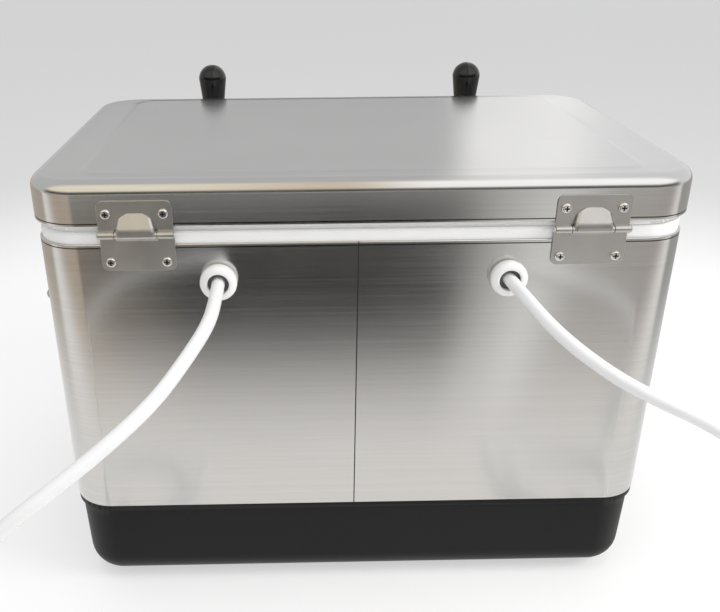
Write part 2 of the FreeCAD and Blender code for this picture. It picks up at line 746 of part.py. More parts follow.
def make_lid_skin():
    body = part_body("lid_skin")
    height = lid_top - lid_bottom
    extrude(body, "+Z", lid_bottom, height, [plan_loop(0)])
    extrude(body, "+Z", lid_bottom, height - s.sheet, [plan_loop(s.sheet)], cut=True)
    round_edges(body, s.lid_edge - s.sheet, at_level(lid_top - s.sheet))
    round_edges(body, s.lid_edge, at_level(lid_top))
    field_width = s.lid_width - 2 * s.field_end_border
    field_depth = s.lid_depth - 2 * s.field_side_border
    field_corner = s.lid_corner - s.field_side_border
    low = new_sketch(body, "XY_Plane", lid_top)
    draw_outline(low, plan_loop(0, field_width, field_depth, field_corner))
    high = new_sketch(body, "XY_Plane", s.total_height)
    draw_outline(high, plan_loop(s.field_ramp, field_width, field_depth, field_corner))
    ramp = body.newObject("PartDesign::AdditiveLoft", "lid_skin_field")
    ramp.Profile = low
    ramp.Sections = [high]
    ramp.Ruled = True
    hem_outer = plan_loop(s.sheet / 2)
    extrude(body, "+Z", lid_bottom, s.sheet, [hem_outer, plan_loop(s.liner_inset)])
    groove = [plan_loop(-s.sheet), plan_loop(s.bead_depth)]
    extrude(body, "+Z", lid_bottom + s.lid_hem, s.bead_width, groove, cut=True)
    lid_screw_holes(body, s.pin_clearance)
    return finished(body)


def make_lid_liner():
    body = part_body("lid_liner")
    extrude(body, "+Z", liner_bottom, s.liner_height, [plan_loop(s.liner_inset)])
    hollow = plan_loop(s.liner_inset + s.liner_wall)
    floor = liner_bottom + s.liner_wall
    extrude(body, "+Z", floor, s.liner_height - s.liner_wall, [hollow], cut=True)
    ridge = [tub_loop(s.ridge_gap), tub_loop(s.ridge_gap + s.ridge_width)]
    extrude(body, "-Z", floor, s.ridge_height + s.liner_wall, ridge)
    return finished(body)


def make_lid_foam():
    body = part_body("lid_foam")
    liner_top = liner_bottom + s.liner_height
    bottom = liner_bottom + s.liner_wall + s.fit_gap
    top = lid_top - s.sheet - s.fit_gap
    wide_inset = s.sheet + s.foam_gap
    extrude(body, "+Z", liner_top, top - liner_top, [plan_loop(wide_inset)])
    round_edges(body, s.lid_edge - s.sheet, at_level(top))
    narrow = plan_loop(s.liner_inset + s.liner_wall + s.fit_gap)
    extrude(body, "+Z", bottom, liner_top - bottom, [narrow])
    lid_screw_holes(body, hole_gap)
    return finished(body)


# ---------------------------------------------------------------- fasteners
# outward direction: the turn that brings a screw made along +Y to it
OUTWARD = {
    "+Y": FreeCAD.Rotation(FreeCAD.Vector(0, 0, 1), 0),
    "-Y": FreeCAD.Rotation(FreeCAD.Vector(0, 0, 1), 180),
    "+X": FreeCAD.Rotation(FreeCAD.Vector(0, 0, 1), -90),
    "-X": FreeCAD.Rotation(FreeCAD.Vector(0, 0, 1), 90),
}


def screw(name, direction, x, y, z):
    """A round-headed screw with a cross recess; (x, y, z) is the middle of the head's seat."""
    body = part_body(name)
    profile = [(-s.screw_length, 0), (-s.screw_length, s.screw_radius), (0, s.screw_radius),
               (0, s.head_radius), (s.head_height, s.head_radius, s.head_height * 0.8),
               (s.head_height, 0)]
    turn(body, "Y", profile)
    bottom = s.head_height - s.cross_depth
    for long, short in ((s.cross_length, s.cross_width), (s.cross_width, s.cross_length)):
        bar = rectangle(-long / 2, -short / 2, long / 2, short / 2)
        extrude(body, "+Y", bottom, s.cross_depth + s.fit_gap, [bar], cut=True)
    return place(body, x, y, z, OUTWARD[direction])


def make_hinge_screws():
    lid_screws = []
    for index, (x, z) in enumerate(lid_screw_places()):
        lid_screws.append(screw("lid_screw_%d" % index, "+Y", x, lid_back + s.leaf, z))
    finished(group("lid_hinge_screws", lid_screws))
    body_screws = []
    for index, (x, z) in enumerate(lid_screw_places()):
        low = pin_height - s.body_screw_drop
        body_screws.append(screw("body_screw_%d" % index, "+Y", x, wall_y + s.leaf, low))
    finished(group("body_hinge_screws", body_screws))


# ---------------------------------------------------------------- hinges
def make_lid_leaf(side_name, side):
    body = part_body("hinge_leaf_lid_" + side_name)
    half = s.leaf_width / 2
    corner = s.leaf_corner
    plate = [(-half, 0), (half, 0), (half, s.leaf_rise, corner), (-half, s.leaf_rise, corner)]
    extrude(body, "+Y", -knuckle_radius, s.leaf, [plate])
    extrude(body, "+X", -half, s.leaf_width, [("circle", 0, 0, knuckle_radius)])
    notch = s.knuckle_width / 2 + s.knuckle_gap
    clear = knuckle_radius + 2 * s.knuckle_gap
    window = rectangle(-notch, -clear, notch, clear)
    extrude(body, "+Y", -2 * knuckle_radius, 4 * knuckle_radius, [window], cut=True)
    hole = [("circle", 0, 0, s.pin_radius + s.pin_clearance)]
    extrude(body, "+X", -half, s.leaf_width, hole, cut=True)
    add_bulge(body, clear)
    screws = []
    for end in (-1, 1):
        screws.append(("circle", end * s.screw_spacing / 2, s.lid_screw_rise, s.screw_radius + hole_gap))
    extrude(body, "+Y", -knuckle_radius, s.leaf, screws, cut=True)
    return finished(place(body, side * s.hinge_spacing / 2, pin_y, pin_height))


def add_bulge(body, foot):
    """The pressed bulge above the middle knuckle, narrower at its head and its face."""
    face = s.leaf - knuckle_radius
    lean = s.bulge_rise
    sections = []
    for depth, inset in ((face - s.leaf / 2, 0), (face + s.bulge_rise, lean)):
        sketch = new_sketch(body, "XZ_Plane", -depth)
        low, high = s.bulge_width / 2 - inset, s.bulge_top / 2 - inset
        top = foot + s.bulge_height - inset
        draw_outline(sketch, [(-low, foot), (low, foot), (high, top), (-high, top)])
        sections.append(sketch)
    bulge = body.newObject("PartDesign::AdditiveLoft", body.Name + "_bulge")
    bulge.Profile = sections[0]
    bulge.Sections = [sections[1]]
    bulge.Ruled = True


def make_body_leaf(side_name, side):
    body = part_body("hinge_leaf_body_" + side_name)
    half = s.leaf_width / 2
    face = wall_y - pin_y
    clear = knuckle_radius + 2 * s.knuckle_gap
    corner = s.leaf_corner
    plate = [(-half, -s.leaf_drop, corner), (half, -s.leaf_drop, corner), (half, -clear), (-half, -clear)]
    extrude(body, "+Y", face, s.leaf, [plate])
    middle = s.knuckle_width
    step = s.wrap_inset
    front = -knuckle_radius + s.leaf
    rise = 2 * clear
    web = [(face, -rise), (face + s.leaf, -rise), (front, -rise + 2 * step), (front, 0),
           (-knuckle_radius, 0), (-knuckle_radius, -rise + 2 * step), (face, -clear)]
    extrude(body, "+X", -middle / 2, middle, [web])
    extrude(body, "+X", -middle / 2, middle, [("circle", 0, 0, knuckle_radius)])
    hole = [("circle", 0, 0, s.pin_radius + s.pin_clearance)]
    extrude(body, "+X", -half, s.leaf_width, hole, cut=True)
    screws = []
    for end in (-1, 1):
        screws.append(("circle", end * s.screw_spacing / 2, -s.body_screw_drop, s.screw_radius + hole_gap))
    extrude(body, "+Y", face, s.leaf, screws, cut=True)
    return finished(place(body, side * s.hinge_spacing / 2, pin_y, pin_height))


def pin(name, length, x, y, z):
    """A pin along X with a low head at each end."""
    body = part_body(name)
    head = s.pin_radius + s.leaf / 2
    cap = s.leaf / 2
    half = length / 2 + s.knuckle_gap / 2
    profile = [(-half - cap, 0), (-half - cap, head), (-half, head), (-half, s.pin_radius),
               (half, s.pin_radius), (half, head), (half + cap, head), (half + cap, 0)]
    turn(body, "X", profile)
    return place(body, x, y, z)


def make_pins():
    pins = []
    for side_name, side in SIDES:
        pins.append(pin("hinge_pin_" + side_name, s.leaf_width,
                        side * s.hinge_spacing / 2, pin_y, pin_height))
    pins.append(pin("latch_pin", s.latch_width, 0, latch_pin_y, latch_height))
    finished(group("pivot_pins", pins))


latch_pin_y = -wall_y - s.latch_offset


# ---------------------------------------------------------------- latch
def make_latch_base():
    body = part_body("latch_base")
    half = s.latch_width / 2
    top = latch_height + knuckle_radius
    plate = [(-half, latch_plate_bottom, s.leaf_corner), (half, latch_plate_bottom, s.leaf_corner),
             (half, top), (-half, top)]
    extrude(body, "-Y", -wall_y, s.leaf, [plate])
    ear = half - s.hasp_width / 2 - s.knuckle_gap
    for low in (-half, half - ear):
        outline = rectangle(-wall_y - s.latch_offset, latch_height - knuckle_radius, -wall_y, top)
        extrude(body, "+X", low, ear, [outline])
        extrude(body, "+X", low, ear, [("circle", latch_pin_y, latch_height, knuckle_radius)])
    hole = [("circle", latch_pin_y, latch_height, s.pin_radius + s.pin_clearance)]
    extrude(body, "+X", -half, s.latch_width, hole, cut=True)
    holes = [("circle", x, z, s.screw_radius + hole_gap) for x, z in latch_screw_places()]
    extrude(body, "-Y", -wall_y, s.leaf, holes, cut=True)
    return finished(body)


def make_latch_hasp():
    """The hasp hangs open; swung up, its slot goes over the staple on the lid."""
    body = part_body("latch_hasp")
    half = s.hasp_width / 2
    corner = s.leaf_corner
    plate = [(-half, -s.hasp_length, corner), (half, -s.hasp_length, corner), (half, 0), (-half, 0)]
    extrude(body, "-Y", s.leaf / 2, s.leaf, [plate])
    extrude(body, "+X", -half, s.hasp_width, [("circle", 0, 0, knuckle_radius)])
    slot_middle = staple_height - latch_height
    slot = rectangle(-s.slot_width / 2, -slot_middle - s.slot_height / 2,
                     s.slot_width / 2, -slot_middle + s.slot_height / 2)
    extrude(body, "-Y", s.leaf, 2 * s.leaf, [slot], cut=True)
    hole = [("circle", 0, 0, s.pin_radius + s.pin_clearance)]
    extrude(body, "+X", -half, s.hasp_width, hole, cut=True)
    return finished(place(body, 0, latch_pin_y, latch_height))


def make_latch_staple():
    body = part_body("latch_staple")
    half = s.staple_width / 2
    low = staple_height - s.staple_plate / 2
    foot = rectangle(-half - 3, low - 3, half + 3, low + s.staple_plate + 3)
    extrude(body, "-Y", -lid_back, s.leaf, [foot])
    reach = s.staple_reach
    tongue = [(-half, -lid_back), (half, -lid_back), (half, -lid_back - reach, half / 2),
              (-half, -lid_back - reach, half / 2)]
    extrude(body, "+Z", low, s.staple_plate, [tongue])
    eye = [("circle", 0, -lid_back - reach + half / 2 + s.staple_wall, half / 2)]
    extrude(body, "+Z", low, s.staple_plate, eye, cut=True)
    return finished(body)


def make_latch_screws():
    screws = []
    for index, (x, z) in enumerate(latch_screw_places()):
        screws.append(screw("latch_screw_%d" % index, "-Y", x, -wall_y - s.leaf, z))
    finished(group("latch_screws", screws))


# ---------------------------------------------------------------- side handles
def make_handle(side_name, side):
    pivot_x = side * (wall_x + s.handle_offset)
    brackets = []
    for end in (-1, 1):
        brackets.append(make_bracket("handle_bracket_%s_%d" % (side_name, end), side, end))
    finished(group("handle_brackets_" + side_name, brackets))
    bail = part_body("handle_bail_" + side_name)
    half = bracket_y + s.bracket_width / 2 + s.bracket_plate
    inner = s.handle_width / 2
    spine = new_sketch(bail, "YZ_Plane")
    route = [(-half, 0), (-inner, 0, s.rod_bend), (-inner, -s.handle_drop, s.rod_bend),
             (inner, -s.handle_drop, s.rod_bend), (inner, 0, s.rod_bend), (half, 0)]
    draw_outline(spine, route, closed=False)
    section = new_sketch(bail, "XZ_Plane", half)
    draw_circle(section, 0, 0, s.rod_radius)
    pipe = bail.newObject("PartDesign::AdditivePipe", bail.Name + "_pipe")
    pipe.Profile = section
    pipe.Spine = (spine, [])
    finished(place(bail, pivot_x, 0, handle_height))
    grip = part_body("handle_grip_" + side_name)
    long, full, waist = s.grip_length / 2, s.grip_radius, s.grip_radius * 0.88
    bore = s.rod_radius + s.pin_clearance
    profile = [(-long, bore), (-long, waist, waist / 4), (-long * 0.55, waist), (-long * 0.35, full),
               (long * 0.35, full), (long * 0.55, waist), (long, waist, waist / 4), (long, bore)]
    turn(grip, "Y", profile)
    finished(place(grip, pivot_x, 0, handle_height - s.handle_drop))


def make_bracket(name, side, end):
    """A plate on the wall with an ear that the handle's rod turns in."""
    body = part_body(name)
    half_y, half_z = s.bracket_width / 2, s.bracket_height / 2
    outward = "+X" if side > 0 else "-X"
    plate = [(-half_y, -half_z, half_y / 2), (half_y, -half_z, half_y / 2),
             (half_y, half_z, half_y / 2), (-half_y, half_z, half_y / 2)]
    extrude(body, outward, 0, s.bracket_plate, [plate])
    ear_radius = s.rod_radius + s.bracket_plate
    low_x, high_x = (0, s.handle_offset) if side > 0 else (-s.handle_offset, 0)
    ear = rectangle(low_x, -ear_radius, high_x, ear_radius)
    extrude(body, "+Y", -half_y, s.bracket_width, [ear])
    middle = side * s.handle_offset
    extrude(body, "+Y", -half_y, s.bracket_width, [("circle", middle, 0, ear_radius)])
    hole = [("circle", middle, 0, s.rod_radius + s.pin_clearance)]
    extrude(body, "+Y", -half_y, s.bracket_width, hole, cut=True)
    screws = [("circle", 0, up * s.bracket_screws / 2, s.screw_radius + hole_gap) for up in (-1, 1)]
    extrude(body, outward, 0, s.bracket_plate, screws, cut=True)
    return place(body, side * wall_x, end * bracket_y, handle_height)


def make_handle_screws():
    screws = []
    for side_name, side in SIDES:
        direction = "+X" if side > 0 else "-X"
        for index, (y, z) in enumerate(bracket_screw_places()):
            name = "handle_screw_%s_%d" % (side_name, index)
            screws.append(screw(name, direction, side * (wall_x + s.bracket_plate), y, z))
    finished(group("handle_screws", screws))


# ---------------------------------------------------------------- drain
def make_drain():
    spout = part_body("drain_spout")
    inner = tub_x - s.tub_round
    end = drain_face + s.drain_reach
    profile = [(inner, s.drain_bore), (inner, s.drain_radius),
               (end, s.drain_radius), (end, s.drain_bore)]
    turn(spout, "X", profile)
    saddle_x = tub_x + s.tub_wall + s.fit_gap
    saddle_floor = tub_floor - s.tub_wall - s.fit_gap - drain_height
    saddle = [(0, saddle_floor), (saddle_x, saddle_floor, s.tub_round + s.tub_wall + s.fit_gap),
              (saddle_x, s.tub_round * 2), (0, s.tub_round * 2)]
    extrude(spout, "+Y", -s.drain_nut, 2 * s.drain_nut, [saddle], cut=True)
    finished(place(spout, 0, s.drain_side, drain_height))
    nut = part_body("drain_nut")
    extrude(nut, "+X", drain_face, s.drain_nut_height, [hexagon(0, 0, s.drain_nut)])
    bore = [("circle", 0, 0, s.drain_radius)]
    extrude(nut, "+X", drain_face, s.drain_nut_height, bore, cut=True)
    finished(place(nut, 0, s.drain_side, drain_height))
    plug = part_body("drain_plug")
    head = s.drain_radius + s.tray_wall
    stem = s.drain_bore - s.pin_clearance
    ring = s.seal_radius
    groove = end - s.plug_length / 2
    knob = end + s.plug_length / 2
    profile = [(end - s.plug_length, 0), (end - s.plug_length, stem), (groove - ring, stem),
               (groove - ring, stem - ring), (groove + ring, stem - ring), (groove + ring, stem),
               (end + hole_gap, stem), (end + hole_gap, head), (knob, head, s.tray_wall), (knob, 0)]
    turn(plug, "X", profile)
    finished(place(plug, 0, s.drain_side, drain_height))
    seal = part_body("drain_seal")
    profile = [(groove - ring, stem - ring), (groove - ring, stem, ring * 0.6),
               (groove + ring, stem, ring * 0.6), (groove + ring, stem - ring)]
    turn(seal, "X", profile)
    finished(place(seal, 0, s.drain_side, drain_height))


# ---------------------------------------------------------------- hose glands and inlets
def make_glands():
    nuts = []
    for side_name, side in SIDES:
        gland = part_body("hose_gland_" + side_name)
        inner = tub_y - s.tub_wall - wall_y
        profile = [(inner, s.gland_neck), (inner, s.gland_sleeve), (0, s.gland_sleeve),
                   (0, s.gland_radius), (s.gland_rise * 0.22, s.gland_radius),
                   (s.gland_rise * 0.55, s.gland_radius * 0.93),
                   (s.gland_rise * 0.85, s.gland_radius * 0.82),
                   (s.gland_rise, s.gland_mouth), (s.gland_rise, s.gland_bore),
                   (neck_front, s.gland_bore * 0.9), (neck_front, s.gland_neck)]
        turn(gland, "Y", profile)
        finished(place(gland, side * s.hose_spacing / 2, wall_y, hose_height))
        nut = part_body("gland_nut_" + side_name)
        profile = [(-s.tub_wall * 2, s.gland_sleeve), (-s.tub_wall * 2, s.gland_nut, s.tub_wall / 2),
                   (0, s.gland_nut), (0, s.gland_sleeve)]
        turn(nut, "Y", profile)
        nuts.append(place(nut, side * s.hose_spacing / 2, tub_y, hose_height))
    finished(group("gland_nuts", nuts))


neck_front = s.gland_rise * 0.45
inlet_y = s.coil_span / 2 + s.riser_gap
fitting_start = inlet_y + s.bend_radius + 2
fitting_nut = 12
barb_end = fitting_start + 34
tail_start = fitting_start + fitting_nut + 1
tail_end = wall_y + neck_front + 2 * s.fit_gap


def make_inlets():
    fittings, tails, clamps = [], [], []
    for side_name, side in SIDES:
        x = side * s.hose_spacing / 2
        fitting = part_body("inlet_fitting_" + side_name)
        nut = hexagon(0, 0, s.tube_radius + s.tub_wall)
        extrude(fitting, "+Y", fitting_start, fitting_nut, [nut])
        barb = [("circle", 0, 0, s.hose_bore - s.pin_clearance)]
        extrude(fitting, "+Y", fitting_start, barb_end - fitting_start, barb)
        socket = [("circle", 0, 0, s.tube_radius + s.pin_clearance)]
        extrude(fitting, "+Y", fitting_start, fitting_nut / 2, socket, cut=True)
        bore = [("circle", 0, 0, s.fitting_bore)]
        extrude(fitting, "+Y", fitting_start, barb_end - fitting_start, bore, cut=True)
        fittings.append(place(fitting, x, 0, hose_height))
        tail = part_body("hose_tail_" + side_name)
        ring = [("circle", 0, 0, s.hose_radius), ("circle", 0, 0, s.hose_bore)]
        extrude(tail, "+Y", tail_start, tail_end - tail_start, [ring[0], ring[1]])
        tails.append(place(tail, x, 0, hose_height))
        clamp = part_body("hose_clamp_" + side_name)
        band = s.hose_radius + s.sheet
        clamp_y = tail_start + fitting_nut / 3
        ring = [("circle", 0, 0, band), ("circle", 0, 0, s.hose_radius + s.pin_clearance)]
        extrude(clamp, "+Y", clamp_y, fitting_nut / 2, ring)
        ear = rectangle(-s.tub_wall / 2, band - s.sheet / 2, s.tub_wall / 2, band + s.tub_wall)
        extrude(clamp, "+Y", clamp_y, fitting_nut / 2, [ear])
        clamps.append(place(clamp, x, 0, hose_height))
    finished(group("inlet_fittings", fittings))
    finished(group("hose_tails", tails))
    finished(group("hose_clamps", clamps))


# ---------------------------------------------------------------- cooling coils
def coil_route(side):
    """Inlet, riser, the turns and the outlet riser, as corner points with their bend radii."""
    def point(x, y, z):
        return FreeCAD.Vector(side * x, y, z)

    middle = s.coil_spacing.value / 2
    half_x, half_y = s.coil_length.value / 2, s.coil_span.value / 2
    foot = tub_floor.value + s.coil_foot.value
    hose_x, tap_x = s.hose_spacing.value / 2, s.tap_spacing.value / 2
    riser_y, bend = inlet_y.value, s.bend_radius.value
    points = [point(hose_x, fitting_start.value + fitting_nut / 2, hose_height.value),
              point(hose_x, riser_y, hose_height.value),
              point(hose_x, riser_y, foot),
              point(middle - half_x / 3, half_y, foot)]
    radii = [bend, bend, bend]
    corners = [(-1, 1), (-1, -1), (1, -1), (1, 1)]
    steps = int(s.coil_turns.value) * len(corners) - 1
    for step in range(steps):
        sign_x, sign_y = corners[step % len(corners)]
        height = foot + s.coil_pitch.value * (step + 1) / len(corners)
        points.append(point(middle + sign_x * half_x, sign_y * half_y, height))
        radii.append(s.coil_corner.value)
    top = points[-1].z
    tail_y = -(wall_y.value - s.shank_reach.value)
    outlet_y = tail_y + bend * 1.6
    points[-1] = point(tap_x, -half_y, top - s.coil_pitch.value / len(corners))
    radii[-1] = bend
    points.append(point(tap_x, outlet_y, top + bend * 2))
    points.append(point(tap_x, outlet_y, tap_height.value))
    points.append(point(tap_x, tail_y, tap_height.value))
    radii += [bend, bend]
    return points, radii


def make_coil(side_name, side):
    points, radii = coil_route(side)
    wire = rounded_wire(points, radii)
    tube = swept(wire, s.tube_radius.value)
    return finished(shape_node("cooling_coil_" + side_name, tube))


# ---------------------------------------------------------------- taps
def make_shank(side_name, side):
    body = part_body("tap_shank_" + side_name)
    profile = [(-s.stub_length, s.seat_chamber), (-s.stub_length, s.stub_radius),
               (-s.flange_height, s.stub_radius), (-s.flange_height, s.shank_flange, 1.5),
               (0, s.shank_flange), (0, s.shank_radius), (s.shank_reach, s.shank_radius),
               (s.shank_reach, s.shank_bore), (-s.flange_height, s.shank_bore),
               (-s.flange_height, s.seat_chamber)]
    turn(body, "Y", profile)
    return finished(place(body, side * s.tap_spacing / 2, -wall_y, tap_height))


def make_shank_nuts():
    nuts, tails = [], []
    for side_name, side in SIDES:
        x = side * s.tap_spacing / 2
        nut = part_body("shank_nut_" + side_name)
        extrude(nut, "+Y", -tub_y, s.shank_nut_height, [hexagon(0, 0, s.shank_nut)])
        extrude(nut, "+Y", -tub_y, s.shank_nut_height, [("circle", 0, 0, s.shank_radius)], cut=True)
        nuts.append(place(nut, x, 0, tap_height))
        tail = part_body("tail_nut_" + side_name)
        start = s.shank_reach - wall_y
        extrude(tail, "+Y", start, s.shank_nut_height, [hexagon(0, 0, s.shank_radius + 2)])
        bore = [("circle", 0, 0, s.tube_radius + s.pin_clearance)]
        extrude(tail, "+Y", start, s.shank_nut_height, bore, cut=True)
        tails.append(place(tail, x, 0, tap_height))
    finished(group("shank_nuts", nuts))
    finished(group("tail_nuts", tails))


def make_collars():
    collars = []
    for side_name, side in SIDES:
        collar = part_body("tap_collar_" + side_name)
        start = s.stub_length - s.collar_length / 2 - 3
        end = start + s.collar_length
        lip = s.barrel_radius + s.fit_gap
        seat = s.stub_length + s.flange_height / 2 + s.fit_gap
        profile = [(-start, s.stub_radius), (-start, s.collar_radius, 1.5),
                   (-end, s.collar_radius, 1.5), (-end, lip), (-seat, lip), (-seat, s.stub_radius)]
        turn(collar, "Y", profile)
        collars.append(place(collar, side * s.tap_spacing / 2, -wall_y, tap_height))
    finished(group("tap_collars", collars))


def make_tap_body(side_name, side):
    """Barrel, boss and spout; the sketch's Y is measured from the lever, out along -Y."""
    body = part_body("tap_body_" + side_name)
    rear = s.tap_reach - s.stub_length
    front = rear - s.barrel_length
    flange = s.flange_height / 2
    profile = [(rear, 0), (rear, s.stub_radius - s.fit_gap), (rear - flange, s.stub_radius - s.fit_gap),
               (rear - flange, s.barrel_radius), (front, s.barrel_radius, s.barrel_radius / 2), (front, 0)]
    turn(body, "Y", profile)
    extrude(body, "+Z", 0, s.boss_height, [("circle", 0, 0, s.boss_radius)])
    spine = new_sketch(body, "YZ_Plane")
    draw_outline(spine, [(0, 0), (-s.spout_reach, 0, s.spout_bend), (-s.spout_reach, -s.spout_drop)],
                 closed=False)
    add_pipe(body, spine, s.spout_radius, "AdditivePipe")
    add_pipe(body, spine, s.spout_bore, "SubtractivePipe")
    bore = [("circle", 0, 0, s.barrel_bore)]
    extrude(body, "-Y", rear, rear + s.barrel_bore, bore, cut=True)
    well = [(0, 0), (0, s.ball_radius + s.ball_gap), (s.boss_height, s.ball_radius + s.ball_gap),
            (s.boss_height, 0)]
    turn(body, "Z", well, cut=True)
    return finished(place(body, side * s.tap_spacing / 2, lever_y, tap_height))


def add_pipe(body, spine, radius, kind):
    section = new_sketch(body, "XZ_Plane")
    draw_circle(section, 0, 0, radius)
    pipe = body.newObject("PartDesign::" + kind, body.Name + "_" + kind.lower())
    pipe.Profile = section
    pipe.Spine = (spine, [])


def make_bonnets():
    bonnets = []
    for side_name, side in SIDES:
        bonnet = part_body("tap_bonnet_" + side_name)
        top = s.boss_height + s.bonnet_height
        neck = s.boss_height + s.bonnet_height / 2
        throat = s.ball_radius * 0.89
        profile = [(s.boss_height, s.ball_radius + s.ball_gap), (s.boss_height, s.bonnet_radius),
                   (top, s.bonnet_radius, 1.5), (top, s.ball_radius + 1.2), (neck, throat)]
        turn(bonnet, "Z", profile)
        bonnets.append(place(bonnet, side * s.tap_spacing / 2, lever_y, tap_height))
    finished(group("tap_bonnets", bonnets))


def make_lever(side_name, side):
    """Lever with its ball at the boss's top; below the ball its tip works the valve rod."""
    x = side * s.tap_spacing / 2
    body = part_body("tap_lever_" + side_name)
    ball = s.ball_radius
    pivot = s.boss_height
    ferrule_bottom = knob_bottom - tap_height - s.ferrule_height
    waist = s.stem_radius
    stud_top = knob_bottom - tap_height + s.stud_length
    profile = [(-1, 0), (-1, s.tip_radius), (pivot - ball, s.tip_radius),
               (pivot - ball * 0.8, ball * 0.6), (pivot - ball * 0.5, ball * 0.86), (pivot, ball),
               (pivot + ball * 0.35, ball * 0.93), (pivot + ball * 0.7, waist),
               (ferrule_bottom, waist), (ferrule_bottom, s.ferrule_radius * 0.8),
               (ferrule_bottom + s.ferrule_height / 2, s.ferrule_radius),
               (knob_bottom - tap_height, s.ferrule_radius), (knob_bottom - tap_height, s.stud_radius),
               (stud_top, s.stud_radius), (stud_top, 0)]
    turn(body, "Z", profile)
    finished(place(body, x, lever_y, tap_height))
    knob = part_body("tap_knob_" + side_name)
    dome = s.knob_radius - hole_gap
    shoulder = s.knob_height - s.knob_radius
    profile = [(0, s.stud_radius + s.pin_clearance), (0, s.knob_foot), (shoulder, s.knob_radius),
               (s.knob_height, s.knob_radius, dome), (s.knob_height, 0),
               (s.stud_length + hole_gap, 0), (s.stud_length + hole_gap, s.stud_radius + s.pin_clearance)]
    turn(knob, "Z", profile)
    finished(place(knob, x, lever_y, knob_bottom))


def make_valve(side_name, side):
    """Rod and washer; the washer shuts against the barrel's rear face."""
    x = side * s.tap_spacing / 2
    rod = part_body("valve_rod_" + side_name)
    rear = s.tap_reach - s.stub_length
    washer_end = rear + s.washer_height + s.pin_clearance
    nut = washer_end + 2
    front = -s.tip_radius * 3
    profile = [(front, 0), (front, s.valve_radius), (rear - 2, s.valve_radius),
               (rear - 2, s.valve_radius * 0.7), (washer_end, s.valve_radius * 0.7),
               (washer_end, s.valve_radius * 1.3), (nut, s.valve_radius * 1.3), (nut, 0)]
    turn(rod, "Y", profile)
    wide = s.tip_radius + hole_gap
    long = s.tip_radius + s.slot_slack
    slot = rectangle(-wide, -long, wide, long)
    extrude(rod, "+Z", -s.valve_radius, 2 * s.valve_radius, [slot], cut=True)
    finished(place(rod, x, lever_y, tap_height))
    washer = part_body("valve_washer_" + side_name)
    start = rear + s.pin_clearance
    hole = s.valve_radius * 0.7 + s.pin_clearance
    profile = [(start, hole), (start, s.washer_radius), (washer_end, s.washer_radius), (washer_end, hole)]
    turn(washer, "Y", profile)
    finished(place(washer, x, lever_y, tap_height))


# ---------------------------------------------------------------- free hoses
# Each route leaves its gland, sags outwards and comes down on the first turn of its ring.
# A point is its share of the way from gland to ring along X and Y, and of the height left.
HOSE_ROUTES = {
    "left": [
        (0, 0, 1), (0.003, 0.184, 0.987), (0.018, 0.443, 0.971), (0.108, 0.722, 0.931),
        (0.206, 0.961, 0.892), (0.376, 1.175, 0.838), (0.588, 1.363, 0.774), (0.732, 1.447, 0.726),
        (0.912, 1.57, 0.625), (1.046, 1.641, 0.496), (1.108, 1.654, 0.345), (1.113, 1.596, 0.216),
        (1.088, 1.486, 0.111), (1.052, 1.324, 0.044), (1.015, 1.159, 0.013), (1, 1, 0),
    ],
    "right": [
        (0, 0, 1), (0.037, 0.165, 0.985), (0.129, 0.378, 0.937), (0.242, 0.547, 0.896),
        (0.387, 0.689, 0.854), (0.541, 0.786, 0.822), (0.706, 0.871, 0.788), (0.881, 0.961, 0.73),
        (1.026, 1.078, 0.636), (1.119, 1.207, 0.517), (1.16, 1.33, 0.409), (1.17, 1.479, 0.309),
        (1.162, 1.515, 0.21), (1.129, 1.46, 0.117), (1.08, 1.343, 0.05), (1.028, 1.181, 0.01),
        (1, 1, 0),
    ],
}
ARC_SHARE = 0.45


def hose_tube(name, points):
    """Straight runs and arcs, each arc as large as its two runs allow."""
    radii = []
    for before, corner, after in zip(points, points[1:], points[2:]):
        shorter = min(corner.distanceToPoint(before), corner.distanceToPoint(after))
        half_turn = (corner - before).getAngle(after - corner) / 2
        radii.append(ARC_SHARE * shorter / math.tan(half_turn))
    wire = rounded_wire(points, radii)
    tube = swept(wire, s.hose_radius.value)
    expected = math.pi * s.hose_radius.value ** 2 * wire.Length
    print(name, "length %.0f" % wire.Length, "volume ratio %.4f" % (tube.Volume / expected),
          "radii", [round(radius) for radius in radii])
    return tube


def gland_to_ring(side_name, side):
    """The hanging stretch of a hose, from its gland to the first turn of its ring."""
    start_x, start_y = s.hose_spacing.value / 2, tail_end.value
    run_x = s.ring_centre_x.value + s.turn_radius.value - start_x
    run_y = s.ring_centre_y.value - start_y
    drop = hose_height.value - s.landing.value
    points = []
    for share_x, share_y, share_z in HOSE_ROUTES[side_name]:
        x, y = start_x + share_x * run_x, start_y + share_y * run_y
        points.append(FreeCAD.Vector(side * x, y, s.landing.value + share_z * drop))
    return hose_tube("hose_" + side_name, points)


def ring_to_end(side_name, side):
    """The last stretch, from the ring's last turn up to the connector."""
    x = side * ring_end_x.value
    y = s.ring_centre_y.value
    low, high = s.hose_radius.value, s.end_nut.value
    share = s.end_length.value / 3
    points = [FreeCAD.Vector(x, y, low), FreeCAD.Vector(x, y + share, low),
              FreeCAD.Vector(x, y + 2 * share, high), FreeCAD.Vector(x, y + 3 * share, high)]
    return hose_tube("hose_end_" + side_name, points)


ring_end_x = s.ring_centre_x - s.turn_radius - 2 * s.hose_radius * s.ring_turns
connector_y = s.ring_centre_y + s.end_length


